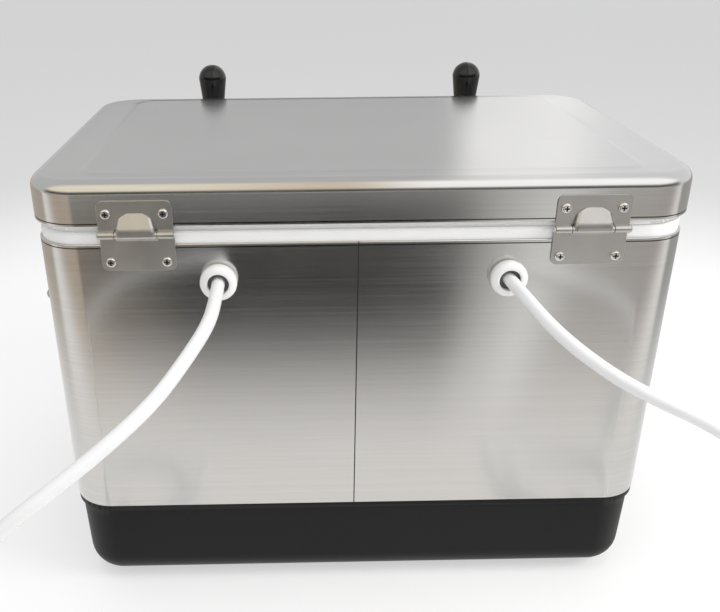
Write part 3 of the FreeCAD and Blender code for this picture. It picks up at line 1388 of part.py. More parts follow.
def make_hose(side_name, side):
    hanging = gland_to_ring(side_name, side)
    end = ring_to_end(side_name, side)
    finished(shape_node("hose_" + side_name, Part.makeCompound([hanging, end])))
    ring = part_body("hose_ring_" + side_name)
    outer = s.turn_radius + (2 * s.ring_turns + 1) * s.hose_radius
    loops = [("circle", 0, 0, outer), ("circle", 0, 0, s.turn_radius - s.hose_radius)]
    extrude(ring, "+Z", 0, 2 * s.hose_radius, loops)
    finished(place(ring, side * s.ring_centre_x, s.ring_centre_y, 0))
    make_connector(side_name, side)


def make_connector(side_name, side):
    """Crimped tailpiece on the hose, and the hexagon nut for the keg's coupler."""
    flange = s.hose_radius * 1.5
    nut_start = s.ferrule_length + s.end_nut_length / 4
    flange_start = nut_start + s.tub_wall + s.pin_clearance
    flange_end = flange_start + s.tub_wall
    thread_start = flange_end + s.pin_clearance
    nut_end = nut_start + s.end_nut_length
    tail = part_body("hose_tailpiece_" + side_name)
    profile = [(0, s.hose_bore), (0, s.hose_radius + s.sheet),
               (s.ferrule_length, s.hose_radius + s.sheet), (s.ferrule_length, s.hose_radius),
               (flange_start, s.hose_radius), (flange_start, flange), (flange_end, flange),
               (flange_end, s.hose_bore)]
    turn(tail, "Y", profile)
    nut = part_body("hose_nut_" + side_name)
    extrude(nut, "+Y", nut_start, s.end_nut_length, [hexagon(0, 0, s.end_nut)])
    thread = flange + s.fit_gap
    hollow = [(nut_start, 0), (nut_start, s.hose_radius + s.pin_clearance),
              (nut_start + s.tub_wall, s.hose_radius + s.pin_clearance),
              (nut_start + s.tub_wall, thread + s.fit_gap), (thread_start, thread + s.fit_gap),
              (thread_start, thread), (nut_end, thread), (nut_end, 0)]
    turn(nut, "Y", hollow, cut=True)
    for piece in (tail, nut):
        place(piece, side * ring_end_x, connector_y, s.end_nut)
    finished(group("hose_connector_" + side_name, [tail, nut]))


# ---------------------------------------------------------------- assembly
def make_all():
    make_base_tray()
    make_body_wrap()
    make_inner_tub()
    make_body_foam()
    make_lid_skin()
    make_lid_liner()
    make_lid_foam()
    make_hinge_screws()
    make_pins()
    make_latch_base()
    make_latch_hasp()
    make_latch_staple()
    make_latch_screws()
    make_handle_screws()
    make_drain()
    make_glands()
    make_inlets()
    make_shank_nuts()
    make_collars()
    make_bonnets()
    for side_name, side in SIDES:
        make_lid_leaf(side_name, side)
        make_body_leaf(side_name, side)
        make_handle(side_name, side)
        make_coil(side_name, side)
        make_shank(side_name, side)
        make_tap_body(side_name, side)
        make_lever(side_name, side)
        make_valve(side_name, side)
        make_hose(side_name, side)


def check_and_write():
    doc.recompute()
    for item in doc.Objects:
        if "Invalid" in item.State or "Error" in item.State:
            raise ValueError("object failed: " + item.Name)
    for node in nodes:
        if node.Shape.isNull() or not node.Shape.isValid():
            raise ValueError("bad shape: " + node.Label)
    os.makedirs("parts", exist_ok=True)
    for node in nodes:
        node.Shape.exportStep("parts/" + node.Label + ".step")
        print(node.Label, len(node.Shape.Solids), "%.0f" % node.Shape.Volume)


make_all()
check_and_write()
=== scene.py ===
import json
import math

import bmesh
import bpy
from bpy.props import FloatProperty, FloatVectorProperty, PointerProperty
from mathutils import Matrix, Vector

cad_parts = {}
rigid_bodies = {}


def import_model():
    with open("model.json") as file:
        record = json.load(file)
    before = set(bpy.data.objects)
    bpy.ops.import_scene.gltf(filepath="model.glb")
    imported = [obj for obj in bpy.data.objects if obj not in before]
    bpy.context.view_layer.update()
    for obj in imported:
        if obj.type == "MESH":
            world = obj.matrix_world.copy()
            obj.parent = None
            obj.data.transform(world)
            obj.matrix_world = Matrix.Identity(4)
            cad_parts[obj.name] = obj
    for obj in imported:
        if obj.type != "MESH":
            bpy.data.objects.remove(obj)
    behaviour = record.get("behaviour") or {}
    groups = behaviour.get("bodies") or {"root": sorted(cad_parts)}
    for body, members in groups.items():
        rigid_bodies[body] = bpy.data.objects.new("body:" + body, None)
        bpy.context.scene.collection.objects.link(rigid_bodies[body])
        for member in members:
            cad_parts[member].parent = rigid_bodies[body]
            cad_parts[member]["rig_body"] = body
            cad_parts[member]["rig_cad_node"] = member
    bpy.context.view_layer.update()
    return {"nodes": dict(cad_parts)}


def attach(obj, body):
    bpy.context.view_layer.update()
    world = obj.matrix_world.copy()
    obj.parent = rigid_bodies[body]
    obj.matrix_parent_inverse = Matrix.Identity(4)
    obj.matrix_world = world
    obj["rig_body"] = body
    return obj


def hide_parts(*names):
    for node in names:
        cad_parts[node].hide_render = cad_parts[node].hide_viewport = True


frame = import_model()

bl_info = {
    "name": "Two-Tap Jockey Box Cooler",
    "version": (1, 0, 0),
    "blender": (4, 5, 0),
    "location": "View3D > Sidebar > Cooler",
    "description": "Dresses the packed frame of a two-tap beer cooler with its finishes, hoses and stage",
    "category": "Object",
}

NODES = frame["nodes"]
SIDES = ("left", "right")


# ---------------------------------------------------------------- sizes and colours

def user_colour(name, description, default):
    """A colour that the user can change."""
    return FloatVectorProperty(name=name, description=description, default=default, subtype="COLOR",
                               size=3, min=0, max=1)


class CoolerSteel(bpy.types.PropertyGroup):
    """The steel of the chest and its fittings."""

    sheet: user_colour("Sheet", "Colour of the brushed sheet", (0.66, 0.655, 0.645))
    sheet_roughness: FloatProperty(name="Sheet Roughness", description="Blur of the brushed sheet",
                                   default=0.17, min=0.02, max=1)
    plate: user_colour("Plate", "Colour of hinges, latch and handles", (0.60, 0.585, 0.565))
    plate_roughness: FloatProperty(name="Plate Roughness", description="Blur of the stamped plates",
                                   default=0.34, min=0.02, max=1)
    bright: user_colour("Bright Steel", "Colour of screws, coils and fittings", (0.72, 0.715, 0.70))
    chrome: user_colour("Chrome", "Colour of the plated taps", (0.58, 0.585, 0.60))


class CoolerPlastic(bpy.types.PropertyGroup):
    """The plastics and rubber."""

    base: user_colour("Base", "Colour of the moulded base", (0.009, 0.009, 0.0095))
    liner: user_colour("Liner", "Colour of the inner tub and lid liner", (0.86, 0.86, 0.85))
    foam: user_colour("Foam", "Colour of the insulation", (0.80, 0.74, 0.52))
    knob: user_colour("Knob", "Colour of the tap knobs", (0.006, 0.006, 0.007))
    rubber: user_colour("Rubber", "Colour of seals, washers and grips", (0.018, 0.018, 0.018))
    gland: user_colour("Gland", "Colour of the hose glands", (0.83, 0.83, 0.82))


class CoolerHose(bpy.types.PropertyGroup):
    """The two free beer lines."""

    diameter: FloatProperty(name="Diameter", description="Outside diameter of the hose",
                            default=0.012, min=0.004, max=0.02, unit="LENGTH")
    colour: user_colour("Colour", "Colour of the hose", (0.80, 0.805, 0.805))
    tie_width: FloatProperty(name="Tie Width", description="Width of the strap round each coil",
                             default=0.016, min=0.004, max=0.04, unit="LENGTH")


class CoolerStage(bpy.types.PropertyGroup):
    """Floor, backdrop, light and camera."""

    floor: user_colour("Floor", "Colour of the floor", (0.94, 0.94, 0.94))
    backdrop: user_colour("Backdrop", "Colour behind the floor", (0.72, 0.72, 0.72))
    focal_length: FloatProperty(name="Focal Length", description="Lens of the camera, in millimetres",
                                default=42.02, min=10, max=200)


# ---------------------------------------------------------------- selecting and shaping

def clear_selection():
    if bpy.context.mode != "OBJECT":
        bpy.ops.object.mode_set(mode="OBJECT")
    bpy.ops.object.select_all(action="DESELECT")


def pick(piece):
    """Makes one object the only selected one."""
    clear_selection()
    piece.hide_set(False)
    piece.select_set(True)
    bpy.context.view_layer.objects.active = piece


def soften(piece, angle=32):
    """Smooth shading that keeps flat faces flat."""
    pick(piece)
    bpy.ops.object.shade_smooth_by_angle(angle=math.radians(angle))
    return applied(piece, "WEIGHTED_NORMAL", keep_sharp=True, weight=60)


def choose(piece, kind, test):
    """Edit mode with only the vertices, edges or faces that pass the test selected."""
    pick(piece)
    bpy.ops.object.mode_set(mode="EDIT")
    bpy.ops.mesh.select_mode(type=kind)
    bpy.ops.mesh.select_all(action="DESELECT")
    shape = bmesh.from_edit_mesh(piece.data)
    parts = {"VERT": shape.verts, "EDGE": shape.edges, "FACE": shape.faces}
    for part in parts[kind]:
        if test(part):
            part.select_set(True)
    shape.select_flush_mode()
    bmesh.update_edit_mesh(piece.data)


def near(first, second, slack=0.00005):
    return abs(first - second) < slack


def edge_middle(edge):
    return (edge.verts[0].co + edge.verts[1].co) / 2


def level_edge(edge, level):
    """Whether both ends of an edge lie at this height."""
    return all(near(corner.co.z, level) for corner in edge.verts)


def applied(piece, kind, **settings):
    """Adds a modifier and applies it."""
    pick(piece)
    bpy.ops.object.modifier_add(type=kind)
    for key, value in settings.items():
        setattr(piece.modifiers[-1], key, value)
    bpy.ops.object.modifier_apply(modifier=piece.modifiers[-1].name)
    return piece


def settled(name, scale=(1, 1, 1)):
    """Names the new primitive, and puts its size, turn and place into its mesh."""
    piece = bpy.context.object
    piece.name = name
    piece.scale = scale
    bpy.ops.object.transform_apply(location=True, rotation=True, scale=True)
    return piece


def show(piece):
    """Puts a new object into the scene."""
    bpy.context.scene.collection.objects.link(piece)


def slab(name, low, high):
    """A block between two corners, as a start."""
    clear_selection()
    middle = [(a + b) / 2 for a, b in zip(low, high)]
    bpy.ops.mesh.primitive_cube_add(size=1, location=middle)
    return settled(name, [b - a for a, b in zip(low, high)])


def drum(name, middle, radius, length, axis, vertices=48):
    """A round bar along an axis, as a start."""
    clear_selection()
    turned = {"X": (0, math.pi / 2, 0), "Y": (math.pi / 2, 0, 0), "Z": (0, 0, 0)}[axis]
    bpy.ops.mesh.primitive_cylinder_add(vertices=vertices, radius=radius, depth=length,
                                        location=middle, rotation=turned)
    return settled(name)


def join(name, *pieces):
    """Several meshes as one piece."""
    clear_selection()
    for piece in pieces:
        piece.select_set(True)
    bpy.context.view_layer.objects.active = pieces[0]
    bpy.ops.object.join()
    pieces[0].name = name
    return pieces[0]


def cut_by(piece, cutter, keep="DIFFERENCE"):
    """Takes the cutter's shape out of a piece, or all that is outside it; the cutter goes."""
    applied(piece, "BOOLEAN", operation=keep, solver="EXACT", object=cutter)
    bpy.data.objects.remove(cutter)
    return piece


def round_all(piece, offset, segments, test):
    """Rounds the edges whose two ends both pass the test."""
    choose(piece, "EDGE", lambda edge: all(test(corner.co) for corner in edge.verts))
    bpy.ops.mesh.bevel(offset=offset, segments=segments)


def copies(name, model, places):
    """Copies of a model, each with its own mesh, as one piece; a place is a point and a turn about +Z."""
    pieces = []
    for point, turn in places:
        piece = model.copy()
        piece.data = model.data.copy()
        piece.data.transform(Matrix.Translation(point) @ Matrix.Rotation(turn, 4, "Z"))
        show(piece)
        pieces.append(piece)
    bpy.data.objects.remove(model)
    return join(name, *pieces)


def rounded_box(name, half_x, half_y, corner, bottom, top, segments=20):
    """A box whose upright corners are rounded in plan."""
    clear_selection()
    bpy.ops.mesh.primitive_plane_add(size=1, location=(0, 0, bottom))
    piece = settled(name, (2 * half_x, 2 * half_y, 1))
    choose(piece, "VERT", lambda corner_point: True)
    bpy.ops.mesh.bevel(offset=corner, segments=segments, affect="VERTICES")
    bpy.ops.mesh.select_all(action="SELECT")
    bpy.ops.mesh.extrude_region_move(TRANSFORM_OT_translate={"value": (0, 0, top - bottom)})
    bpy.ops.mesh.select_all(action="SELECT")
    bpy.ops.mesh.normals_make_consistent(inside=False)
    return piece


def cut_level(piece, level):
    """A line of edges round the walls at this height."""
    choose(piece, "FACE", lambda face: abs(face.normal.z) < 0.5)
    bpy.ops.mesh.bisect(plane_co=(0, 0, level), plane_no=(0, 0, 1))


def sink(piece, depth, test):
    """Presses the faces that pass the test inwards."""
    choose(piece, "FACE", test)
    bpy.ops.mesh.inset(thickness=0, depth=-depth, use_even_offset=False)


def press_line(piece, level):
    """Sinks the band of faces round the walls at this height."""
    sink(piece, LINE_DEPTH, lambda face: near(face.calc_center_median().z, level)
         and abs(face.normal.z) < 0.5)


def merged_copy(node, name):
    """A copy of a frame node with its triangles joined and its curves shaded smooth."""
    piece = NODES[node].copy()
    piece.data = NODES[node].data.copy()
    piece.name = name
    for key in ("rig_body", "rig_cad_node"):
        del piece[key]
    piece.parent = None
    piece.matrix_world = Matrix.Identity(4)
    show(piece)
    pick(piece)
    bpy.ops.object.mode_set(mode="EDIT")
    bpy.ops.mesh.select_all(action="SELECT")
    bpy.ops.mesh.remove_doubles(threshold=0.00001)
    bpy.ops.object.mode_set(mode="OBJECT")
    return soften(piece)


def finish_piece(piece, finish, slot, body, *nodes):
    """Finish and body of a made piece, and the nodes it stands for, which are hidden; the slot is not used.
    """
    piece.data.materials.clear()
    piece.data.materials.append(finish_named(finish))
    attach(piece, body)
    if nodes:
        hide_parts(*nodes)


def dress(finish, slot, *nodes):
    """Shows each node as its smooth merged copy in one finish."""
    for node in nodes:
        finish_piece(merged_copy(node, node + "_shown"), finish, slot, NODES[node]["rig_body"], node)


def both(stem):
    """The left and the right node of one kind."""
    return [f"{stem}_{side}" for side in SIDES]


# ---------------------------------------------------------------- materials

def paint(colour):
    """A colour for a socket: an output as it is, or three numbers made opaque."""
    return colour if isinstance(colour, bpy.types.NodeSocket) else (*colour, 1)


class Nodes:
    """A short way to lay out the nodes of a new material or of the world."""

    def __init__(self, owner):
        owner.use_nodes = True
        self.owner = owner
        self.tree = owner.node_tree
        self.shader = self.tree.nodes.get("Principled BSDF")
        self.coordinates = self.add("ShaderNodeTexCoord")

    def add(self, kind, **settings):
        node = self.tree.nodes.new(kind)
        for key, value in settings.items():
            setattr(node, key, value)
        return node

    def link(self, source, target):
        self.tree.links.new(source, target)

    def feed(self, target, source):
        """Links an output, or sets a plain value."""
        if isinstance(source, bpy.types.NodeSocket):
            self.link(source, target)
        else:
            target.default_value = source

    def made(self, kind, inputs, output=0, **settings):
        """One output of a new node with these settings and inputs."""
        node = self.add(kind, **settings)
        for key, source in inputs.items():
            self.feed(node.inputs[key], source)
        return node.outputs[output]

    def maths(self, operation, first, second=0.0):
        return self.made("ShaderNodeMath", {0: first, 1: second}, operation=operation)

    def spread(self, value, low, high, new_low=0.0, new_high=1.0, smooth=False):
        """Maps value from low..high to new_low..new_high and holds it there."""
        inputs = {"Value": value, "From Min": low, "From Max": high, "To Min": new_low, "To Max": new_high}
        kind = "SMOOTHSTEP" if smooth else "LINEAR"
        return self.made("ShaderNodeMapRange", inputs, "Result", interpolation_type=kind)

    def vector(self, operation, first, second=(0, 0, 0)):
        return self.made("ShaderNodeVectorMath", {0: first, 1: second}, operation=operation)

    def length(self, vector):
        return self.made("ShaderNodeVectorMath", {0: vector}, "Value", operation="LENGTH")

    def noise(self, stretch, scale=1.0, detail=3.0, offset=(0, 0, 0)):
        """Noise over the object's own coordinates, stretched per axis."""
        place = {"Vector": self.coordinates.outputs["Object"], "Scale": stretch, "Location": offset}
        inputs = {"Vector": self.made("ShaderNodeMapping", place), "Scale": scale, "Detail": detail}
        return self.made("ShaderNodeTexNoise", inputs, "Fac")

    def blend(self, share, first, second):
        """Number from first to second as share goes from 0 to 1."""
        inputs = {"Factor": share, "A": first, "B": second}
        return self.made("ShaderNodeMix", inputs, "Result", data_type="FLOAT")

    def tint(self, share, first, second):
        """Colour from first to second as share goes from 0 to 1."""
        inputs = {"Factor": share, "A": paint(first), "B": paint(second)}
        return self.made("ShaderNodeMix", inputs, "Result", data_type="RGBA")

    def fade(self, share, first, second):
        """Shader from first to second as share goes from 0 to 1."""
        return self.made("ShaderNodeMixShader", {0: share, 1: first, 2: second})

    def light(self, kind, colour, strength=1.0):
        """Emission or background of one colour."""
        return self.made(kind, {"Color": paint(colour), "Strength": strength})

    def place(self, kind):
        """Coordinates of one kind, as their three parts."""
        node = self.add("ShaderNodeSeparateXYZ")
        self.link(self.coordinates.outputs[kind], node.inputs[0])
        return node.outputs

    def ramp(self, value, low, high, stops):
        """Colours that follow each other, given as (value, colour)."""
        node = self.add("ShaderNodeValToRGB")
        self.link(self.spread(value, low, high), node.inputs["Fac"])
        node.color_ramp.interpolation = "EASE"
        elements = node.color_ramp.elements
        while len(elements) < len(stops):
            elements.new(0.5)
        for element, (place, colour) in zip(elements, stops):
            element.position = (place - low) / (high - low)
            element.color = (*colour, 1)
        return node.outputs["Color"]

    def bump(self, height, depth, strength):
        inputs = {"Height": height, "Distance": depth, "Strength": strength}
        self.link(self.made("ShaderNodeBump", inputs, "Normal"), self.shader.inputs["Normal"])

    def skin(self, colour, tone, cloud, marks, share, roughness, grain):
        """Colour that drifts with the clouds, and roughness that follows marks and clouds."""
        dark, pale = (shade(colour, amount) for amount in tone)
        self.link(self.tint(self.spread(cloud, 0.35, 0.7), dark, pale), self.shader.inputs["Base Color"])
        worn = self.spread(self.blend(share, marks, cloud), 0.3, 0.7, roughness - grain, roughness + grain)
        self.link(worn, self.shader.inputs["Roughness"])


def shade(colour, amount):
    """The colour made darker or lighter by a share."""
    return tuple(min(1.0, c * amount) for c in colour)


def brushed_sheet(steel):
    """Sheet steel brushed level round the walls and lengthways on top, very slightly wavy, with painted shade
    along the pressed lines.
    """
    n = Nodes(bpy.data.materials.new("brushed_sheet"))
    normal = n.coordinates.outputs["Normal"]
    grain_line = n.vector("ADD", n.vector("CROSS_PRODUCT", (0, 0, 1), normal), (0.01, 0, 0))
    across = n.vector("NORMALIZE", n.vector("CROSS_PRODUCT", normal, grain_line))
    turned = n.made("ShaderNodeVectorTransform", {0: across}, vector_type="VECTOR",
                    convert_from="OBJECT", convert_to="WORLD")
    n.link(turned, n.shader.inputs["Tangent"])
    top = n.spread(n.place("Normal")["Z"], 0.55, 0.85)
    fine = n.blend(top, n.noise((10, 10, 2600)), n.noise((10, 2600, 10)))
    coarse = n.blend(top, n.noise((2.5, 2.5, 420), detail=2), n.noise((2.5, 420, 2.5), detail=2))
    grain = n.blend(0.35, fine, coarse)
    smudge = n.noise((7, 7, 9), detail=4)
    sheet = n.tint(n.spread(grain, 0.30, 0.70), shade(steel.sheet, 0.94), shade(steel.sheet, 1.05))
    height = n.place("Object")["Z"]
    # Painted shade: the colour goes dark in a narrow band round each pressed line, standing for the shade in
    # the grooves.
    for line in (WRAP_TOP - HEM - LINE / 2, LID_BOTTOM + HEM + LINE / 2):
        away = n.maths("ABSOLUTE", n.maths("SUBTRACT", height, line))
        sheet = n.tint(n.spread(away, LINE * 0.5, LINE * 0.8), (0.10, 0.095, 0.09), sheet)
    n.link(sheet, n.shader.inputs["Base Color"])
    rough = n.maths("ADD", n.spread(grain, 0.25, 0.75, -0.03, 0.03),
                    n.spread(smudge, 0.3, 0.7, -0.012, 0.02))
    n.link(n.maths("ADD", rough, steel.sheet_roughness), n.shader.inputs["Roughness"])
    n.shader.inputs["Metallic"].default_value = 1
    n.shader.inputs["Anisotropic"].default_value = 0.6
    wave = n.maths("MULTIPLY", n.noise((3.2, 3.2, 3.2), detail=1), 40)
    n.bump(n.maths("ADD", wave, grain), 0.00002, 0.4)
    return n.owner


def satin_steel(name, colour, roughness, grain=0.05, scale=220.0, depth=0.00003):
    """Plain or plated steel with small tumbled marks."""
    n = Nodes(bpy.data.materials.new(name))
    marks = n.noise((1, 1, 1), scale=scale, detail=5)
    wear = n.noise((1, 1, 1), scale=38, detail=4, offset=(0.4, 0.1, 0.7))
    n.skin(colour, (0.94, 1.04), wear, marks, 0.45, roughness, grain)
    n.shader.inputs["Metallic"].default_value = 1
    n.bump(marks, depth, 0.4)
    return n.owner


def moulded(name, colour, roughness, grain=0.04, scale=900.0, depth=0.00004, tone=0.05, soft=0.0,
            strength=0.4, shine=0.5):
    """Moulded plastic or rubber with a fine skin."""
    n = Nodes(bpy.data.materials.new(name))
    skin = n.noise((1, 1, 1), scale=scale, detail=2)
    cloud = n.noise((1, 1, 1), scale=24, detail=4, offset=(0.2, 0.5, 0.1))
    n.skin(colour, (1 - tone, 1 + tone), cloud, skin, 0.4, roughness, grain)
    n.shader.inputs["Specular IOR Level"].default_value = shine
    if soft:
        n.shader.inputs["Subsurface Weight"].default_value = soft
        n.shader.inputs["Subsurface Radius"].default_value = (0.004, 0.004, 0.0035)
    n.bump(skin, depth, strength)
    return n.owner


def make_finishes():
    """Every finish of the cooler, by name."""
    steel = bpy.context.scene.cooler_steel
    plastic = bpy.context.scene.cooler_plastic
    hose = bpy.context.scene.cooler_hose
    return {
        "sheet": brushed_sheet(steel),
        "plate": satin_steel("stamped_plate", steel.plate, steel.plate_roughness, grain=0.06, scale=420),
        "screw": satin_steel("bright_screw", shade(steel.bright, 1.15), 0.2, scale=600),
        "fitting": satin_steel("turned_fitting", steel.bright, 0.22, scale=500),
        "coil": satin_steel("drawn_coil", steel.bright, 0.26, scale=260),
        "chrome": satin_steel("plated_tap", steel.chrome, 0.07, grain=0.03, scale=60, depth=0.00001),
        "base": moulded("moulded_base", plastic.base, 0.46, scale=1500, depth=0.00006, strength=0.55,
                        shine=0.2),
        "liner": moulded("formed_liner", plastic.liner, 0.30, scale=500, depth=0.00002, tone=0.012),
        "foam": moulded("poured_foam", plastic.foam, 0.85, scale=1200, depth=0.0002, tone=0.06, strength=0.8),
        "knob": moulded("glossy_knob", plastic.knob, 0.09, grain=0.03, scale=80, depth=0.00001),
        "rubber": moulded("soft_rubber", plastic.rubber, 0.62, scale=1600, depth=0.00008, strength=0.6),
        # Grey of the gland's seal ring: a rubber seal, and painted shade in the gland's mouth as well.
        "seal": moulded("gland_seal_and_shade", shade(plastic.rubber, 6), 0.60, scale=1400, depth=0.00006),
        "grip": moulded("moulded_grip", plastic.rubber, 0.50, scale=1300, depth=0.0001, strength=0.7),
        "gland": moulded("white_gland", plastic.gland, 0.22, scale=400, depth=0.00001, tone=0.01, soft=0.1),
        "hose": moulded("beer_hose", hose.colour, 0.34, scale=300, depth=0.00003, tone=0.015, soft=0.15),
        "tie": moulded("coil_strap", plastic.rubber, 0.75, scale=1800, depth=0.0003, strength=0.8),
    }


FINISHES = {}


def finish_named(name):
    if not FINISHES:
        FINISHES.update(make_finishes())
    return FINISHES[name]


# ---------------------------------------------------------------- pieces

WALL_X, WALL_Y = 0.2977, 0.1917
WRAP_BOTTOM, WRAP_TOP = 0.106, 0.3914
WRAP_CORNER = 0.0437
LID_X, LID_Y = 0.300, 0.194
LID_BOTTOM, LID_TOP = 0.408, 0.4488
LID_CORNER, LID_EDGE = 0.046, 0.0115
FIELD_RISE, FIELD_RAMP, FIELD_SOFT = 0.0012, 0.008, 0.0012
FIELD_INSET_X, FIELD_INSET_Y = 0.0435, 0.0195
SHEET = 0.0008
HEM, LINE, LINE_DEPTH = 0.0029, 0.0008, 0.0005
WRAP_LIP, LID_LIP = 0.0016, 0.0044
WRAP_ROLL, LID_ROLL = 0.0012, 0.0014
TOP_BORDER, END_BORDER = 0.007, 0.024
SEAM_X, SEAM_GAP, SEAM_DEPTH = 0.005, 0.0011, 0.0004
PIN_Y, PIN_Z = 0.1975, 0.402
HINGE_X = 0.201


def chest_wrap():
    """Steel round the chest, open above and below, with a hem, a rolled line and a seam at the back."""
    wrap = rounded_box("chest_wrap", WALL_X, WALL_Y, WRAP_CORNER, WRAP_BOTTOM, WRAP_TOP)
    for level in (WRAP_TOP - HEM - LINE, WRAP_TOP - HEM):
        cut_level(wrap, level)
    for side in (-1, 1):
        choose(wrap, "FACE", lambda face: face.normal.y > 0.99)
        bpy.ops.mesh.bisect(plane_co=(SEAM_X + side * SEAM_GAP / 2, 0, 0), plane_no=(1, 0, 0))
    choose(wrap, "FACE", lambda face: face.normal.z < -0.9)
    bpy.ops.mesh.delete(type="FACE")
    choose(wrap, "FACE", lambda face: face.normal.z > 0.9)
    bpy.ops.mesh.inset(thickness=WRAP_LIP)
    bpy.ops.mesh.delete(type="FACE")
    press_line(wrap, WRAP_TOP - HEM - LINE / 2)
    sink(wrap, SEAM_DEPTH, lambda face: face.normal.y > 0.99 and near(face.calc_center_median().x, SEAM_X))
    choose(wrap, "EDGE", lambda edge: level_edge(edge, WRAP_TOP) and on_outer_line(edge_middle(edge)))
    bpy.ops.mesh.bevel(offset=WRAP_ROLL, segments=4)
    applied(wrap, "SOLIDIFY", thickness=SHEET / 2, offset=-1)
    return soften(wrap)


def on_outer_line(point):
    """Whether a point lies on the outer line of the wrap, at a wall or at a rounded corner."""
    if near(abs(point.x), WALL_X, 0.0003) or near(abs(point.y), WALL_Y, 0.0003):
        return True
    x, y = abs(point.x) - (WALL_X - WRAP_CORNER), abs(point.y) - (WALL_Y - WRAP_CORNER)
    return x > 0 and y > 0 and near(math.hypot(x, y), WRAP_CORNER, 0.0004)


def seam_shade_strip():
    """Dark strip in the rear seam: painted shade that stands for the shadow in the gap."""
    front = WALL_Y - 0.00015
    strip = slab("rear_seam_shade", (SEAM_X - SEAM_GAP / 2, WALL_Y - 0.0006, WRAP_BOTTOM),
                 (SEAM_X + SEAM_GAP / 2, front, WRAP_TOP - 0.0002))
    choose(strip, "EDGE", lambda edge: near(edge_middle(edge).y, front))
    bpy.ops.mesh.bevel(offset=0.00012, segments=2)
    return soften(strip)


def lid_shell():
    """Pressed steel lid with rounded edges, a raised field and a hem with a rolled line."""
    lid = rounded_box("lid_shell", LID_X, LID_Y, LID_CORNER, LID_BOTTOM, LID_TOP)
    for level in (LID_BOTTOM + HEM, LID_BOTTOM + HEM + LINE):
        cut_level(lid, level)
    choose(lid, "FACE", lambda face: face.normal.z < -0.9)
    bpy.ops.mesh.inset(thickness=LID_LIP)
    bpy.ops.mesh.delete(type="FACE")
    choose(lid, "EDGE", lambda edge: level_edge(edge, LID_TOP))
    bpy.ops.mesh.bevel(offset=LID_EDGE, segments=12)
    choose(lid, "EDGE", lambda edge: level_edge(edge, LID_BOTTOM) and not edge.is_boundary)
    bpy.ops.mesh.bevel(offset=LID_ROLL, segments=4)
    choose(lid, "FACE", lambda face: face.normal.z > 0.999)
    bpy.ops.mesh.inset(thickness=TOP_BORDER)
    choose(lid, "FACE", lambda face: face.normal.z > 0.999 and face.calc_area() > 0.1)
    shape = bmesh.from_edit_mesh(lid.data)
    for corner in shape.verts:
        if corner.select:
            corner.co.x -= math.copysign(END_BORDER, corner.co.x)
    bmesh.update_edit_mesh(lid.data)
    bpy.ops.mesh.inset(thickness=FIELD_RAMP, depth=FIELD_RISE)
    choose(lid, "EDGE", lambda edge: level_edge(edge, LID_TOP + FIELD_RISE)
           or (level_edge(edge, LID_TOP) and field_line(edge_middle(edge))))
    bpy.ops.mesh.bevel(offset=FIELD_SOFT, segments=3)
    press_line(lid, LID_BOTTOM + HEM + LINE / 2)
    applied(lid, "SOLIDIFY", thickness=SHEET / 2, offset=-1)
    return soften(lid)


def field_line(point):
    """Whether a point lies on the foot of the step round the raised field."""
    return abs(point.x) < LID_X - FIELD_INSET_X and abs(point.y) < LID_Y - FIELD_INSET_Y


HEAD_RADIUS, HEAD_RISE, HEAD_ROUND = 0.0046, 0.0026, 0.0018
SHANK_RADIUS, SHANK_LENGTH = 0.002, 0.012
CROSS_LONG, CROSS_WIDE, CROSS_DEEP = 0.0048, 0.0014, 0.0017
CROSS_BARS = ((CROSS_LONG, CROSS_WIDE), (CROSS_WIDE, CROSS_LONG))
LID_SCREW_Z, BODY_SCREW_Z, HINGE_SCREW_X = 0.421, 0.3756, 0.025
LATCH_SCREW_X, LATCH_SCREW_Z = 0.0174, 0.3496
BRACKET_X, BRACKET_SCREW_Y, BRACKET_SCREW_Z = 0.3007, 0.079, (0.284, 0.316)


def screw_model():
    """A round-headed screw that points along +Y, with a cross recess and its seat at the origin."""
    screw = drum("screw_model", (0, HEAD_RISE / 2, 0), HEAD_RADIUS, HEAD_RISE, "Y", 32)
    round_all(screw, HEAD_ROUND, 5, lambda spot: near(spot.y, HEAD_RISE))
    choose(screw, "FACE", lambda face: face.normal.y < -0.9)
    bpy.ops.mesh.inset(thickness=HEAD_RADIUS - SHANK_RADIUS)
    bpy.ops.mesh.extrude_region_move(TRANSFORM_OT_translate={"value": (0, -SHANK_LENGTH, 0)})
    for wide, tall in CROSS_BARS:
        cut_by(screw, slab("cross_bar", (-wide / 2, HEAD_RISE - CROSS_DEEP, -tall / 2),
                           (wide / 2, 0.004, tall / 2)))
    return soften(screw)


def recess_shade_model():
    """Dark bottom of a screw's cross recess: painted shade, a dark piece where the recess is in shade."""
    low, high = HEAD_RISE - CROSS_DEEP, HEAD_RISE - 0.0007
    bars = [slab("recess_shade_bar", (-wide / 2, low, -tall / 2), (wide / 2, high, tall / 2))
            for wide, tall in CROSS_BARS]
    for bar in bars:
        round_all(bar, 0.0002, 2, lambda spot: near(spot.y, high))
    return soften(join("recess_shade_model", *bars))


def drive_screws(node, body, places):
    """Every screw of one node, with painted shade at the bottoms of their recesses."""
    finish_piece(copies(node + "_driven", screw_model(), places), "screw", "screw_steel", body, node)
    # The dark pieces in the recesses are painted shade.
    finish_piece(copies(node + "_recess_shades", recess_shade_model(), places), "rubber", "black_rubber", body)


LEAF, LEAF_HALF, LEAF_CORNER = 0.0015, 0.033, 0.006
LEAF_TOP, LEAF_BOTTOM = 0.4325, 0.3673
BARREL, PIN_BORE, EDGE_ROUND = 0.0035, 0.00205, 0.0004
KNUCKLE_HALF, KNUCKLE_GAP = 0.0185, 0.0005
HOOD_FOOT, HOOD_HEAD, HOOD_TOP, HOOD_FRONT = 0.0174, 0.0136, 0.4215, 0.2022
HOOD_ARCH, HOOD_FOLD, HOOD_ROUND, HOOD_GAP = 0.0204, 0.0042, 0.0031, 0.00055


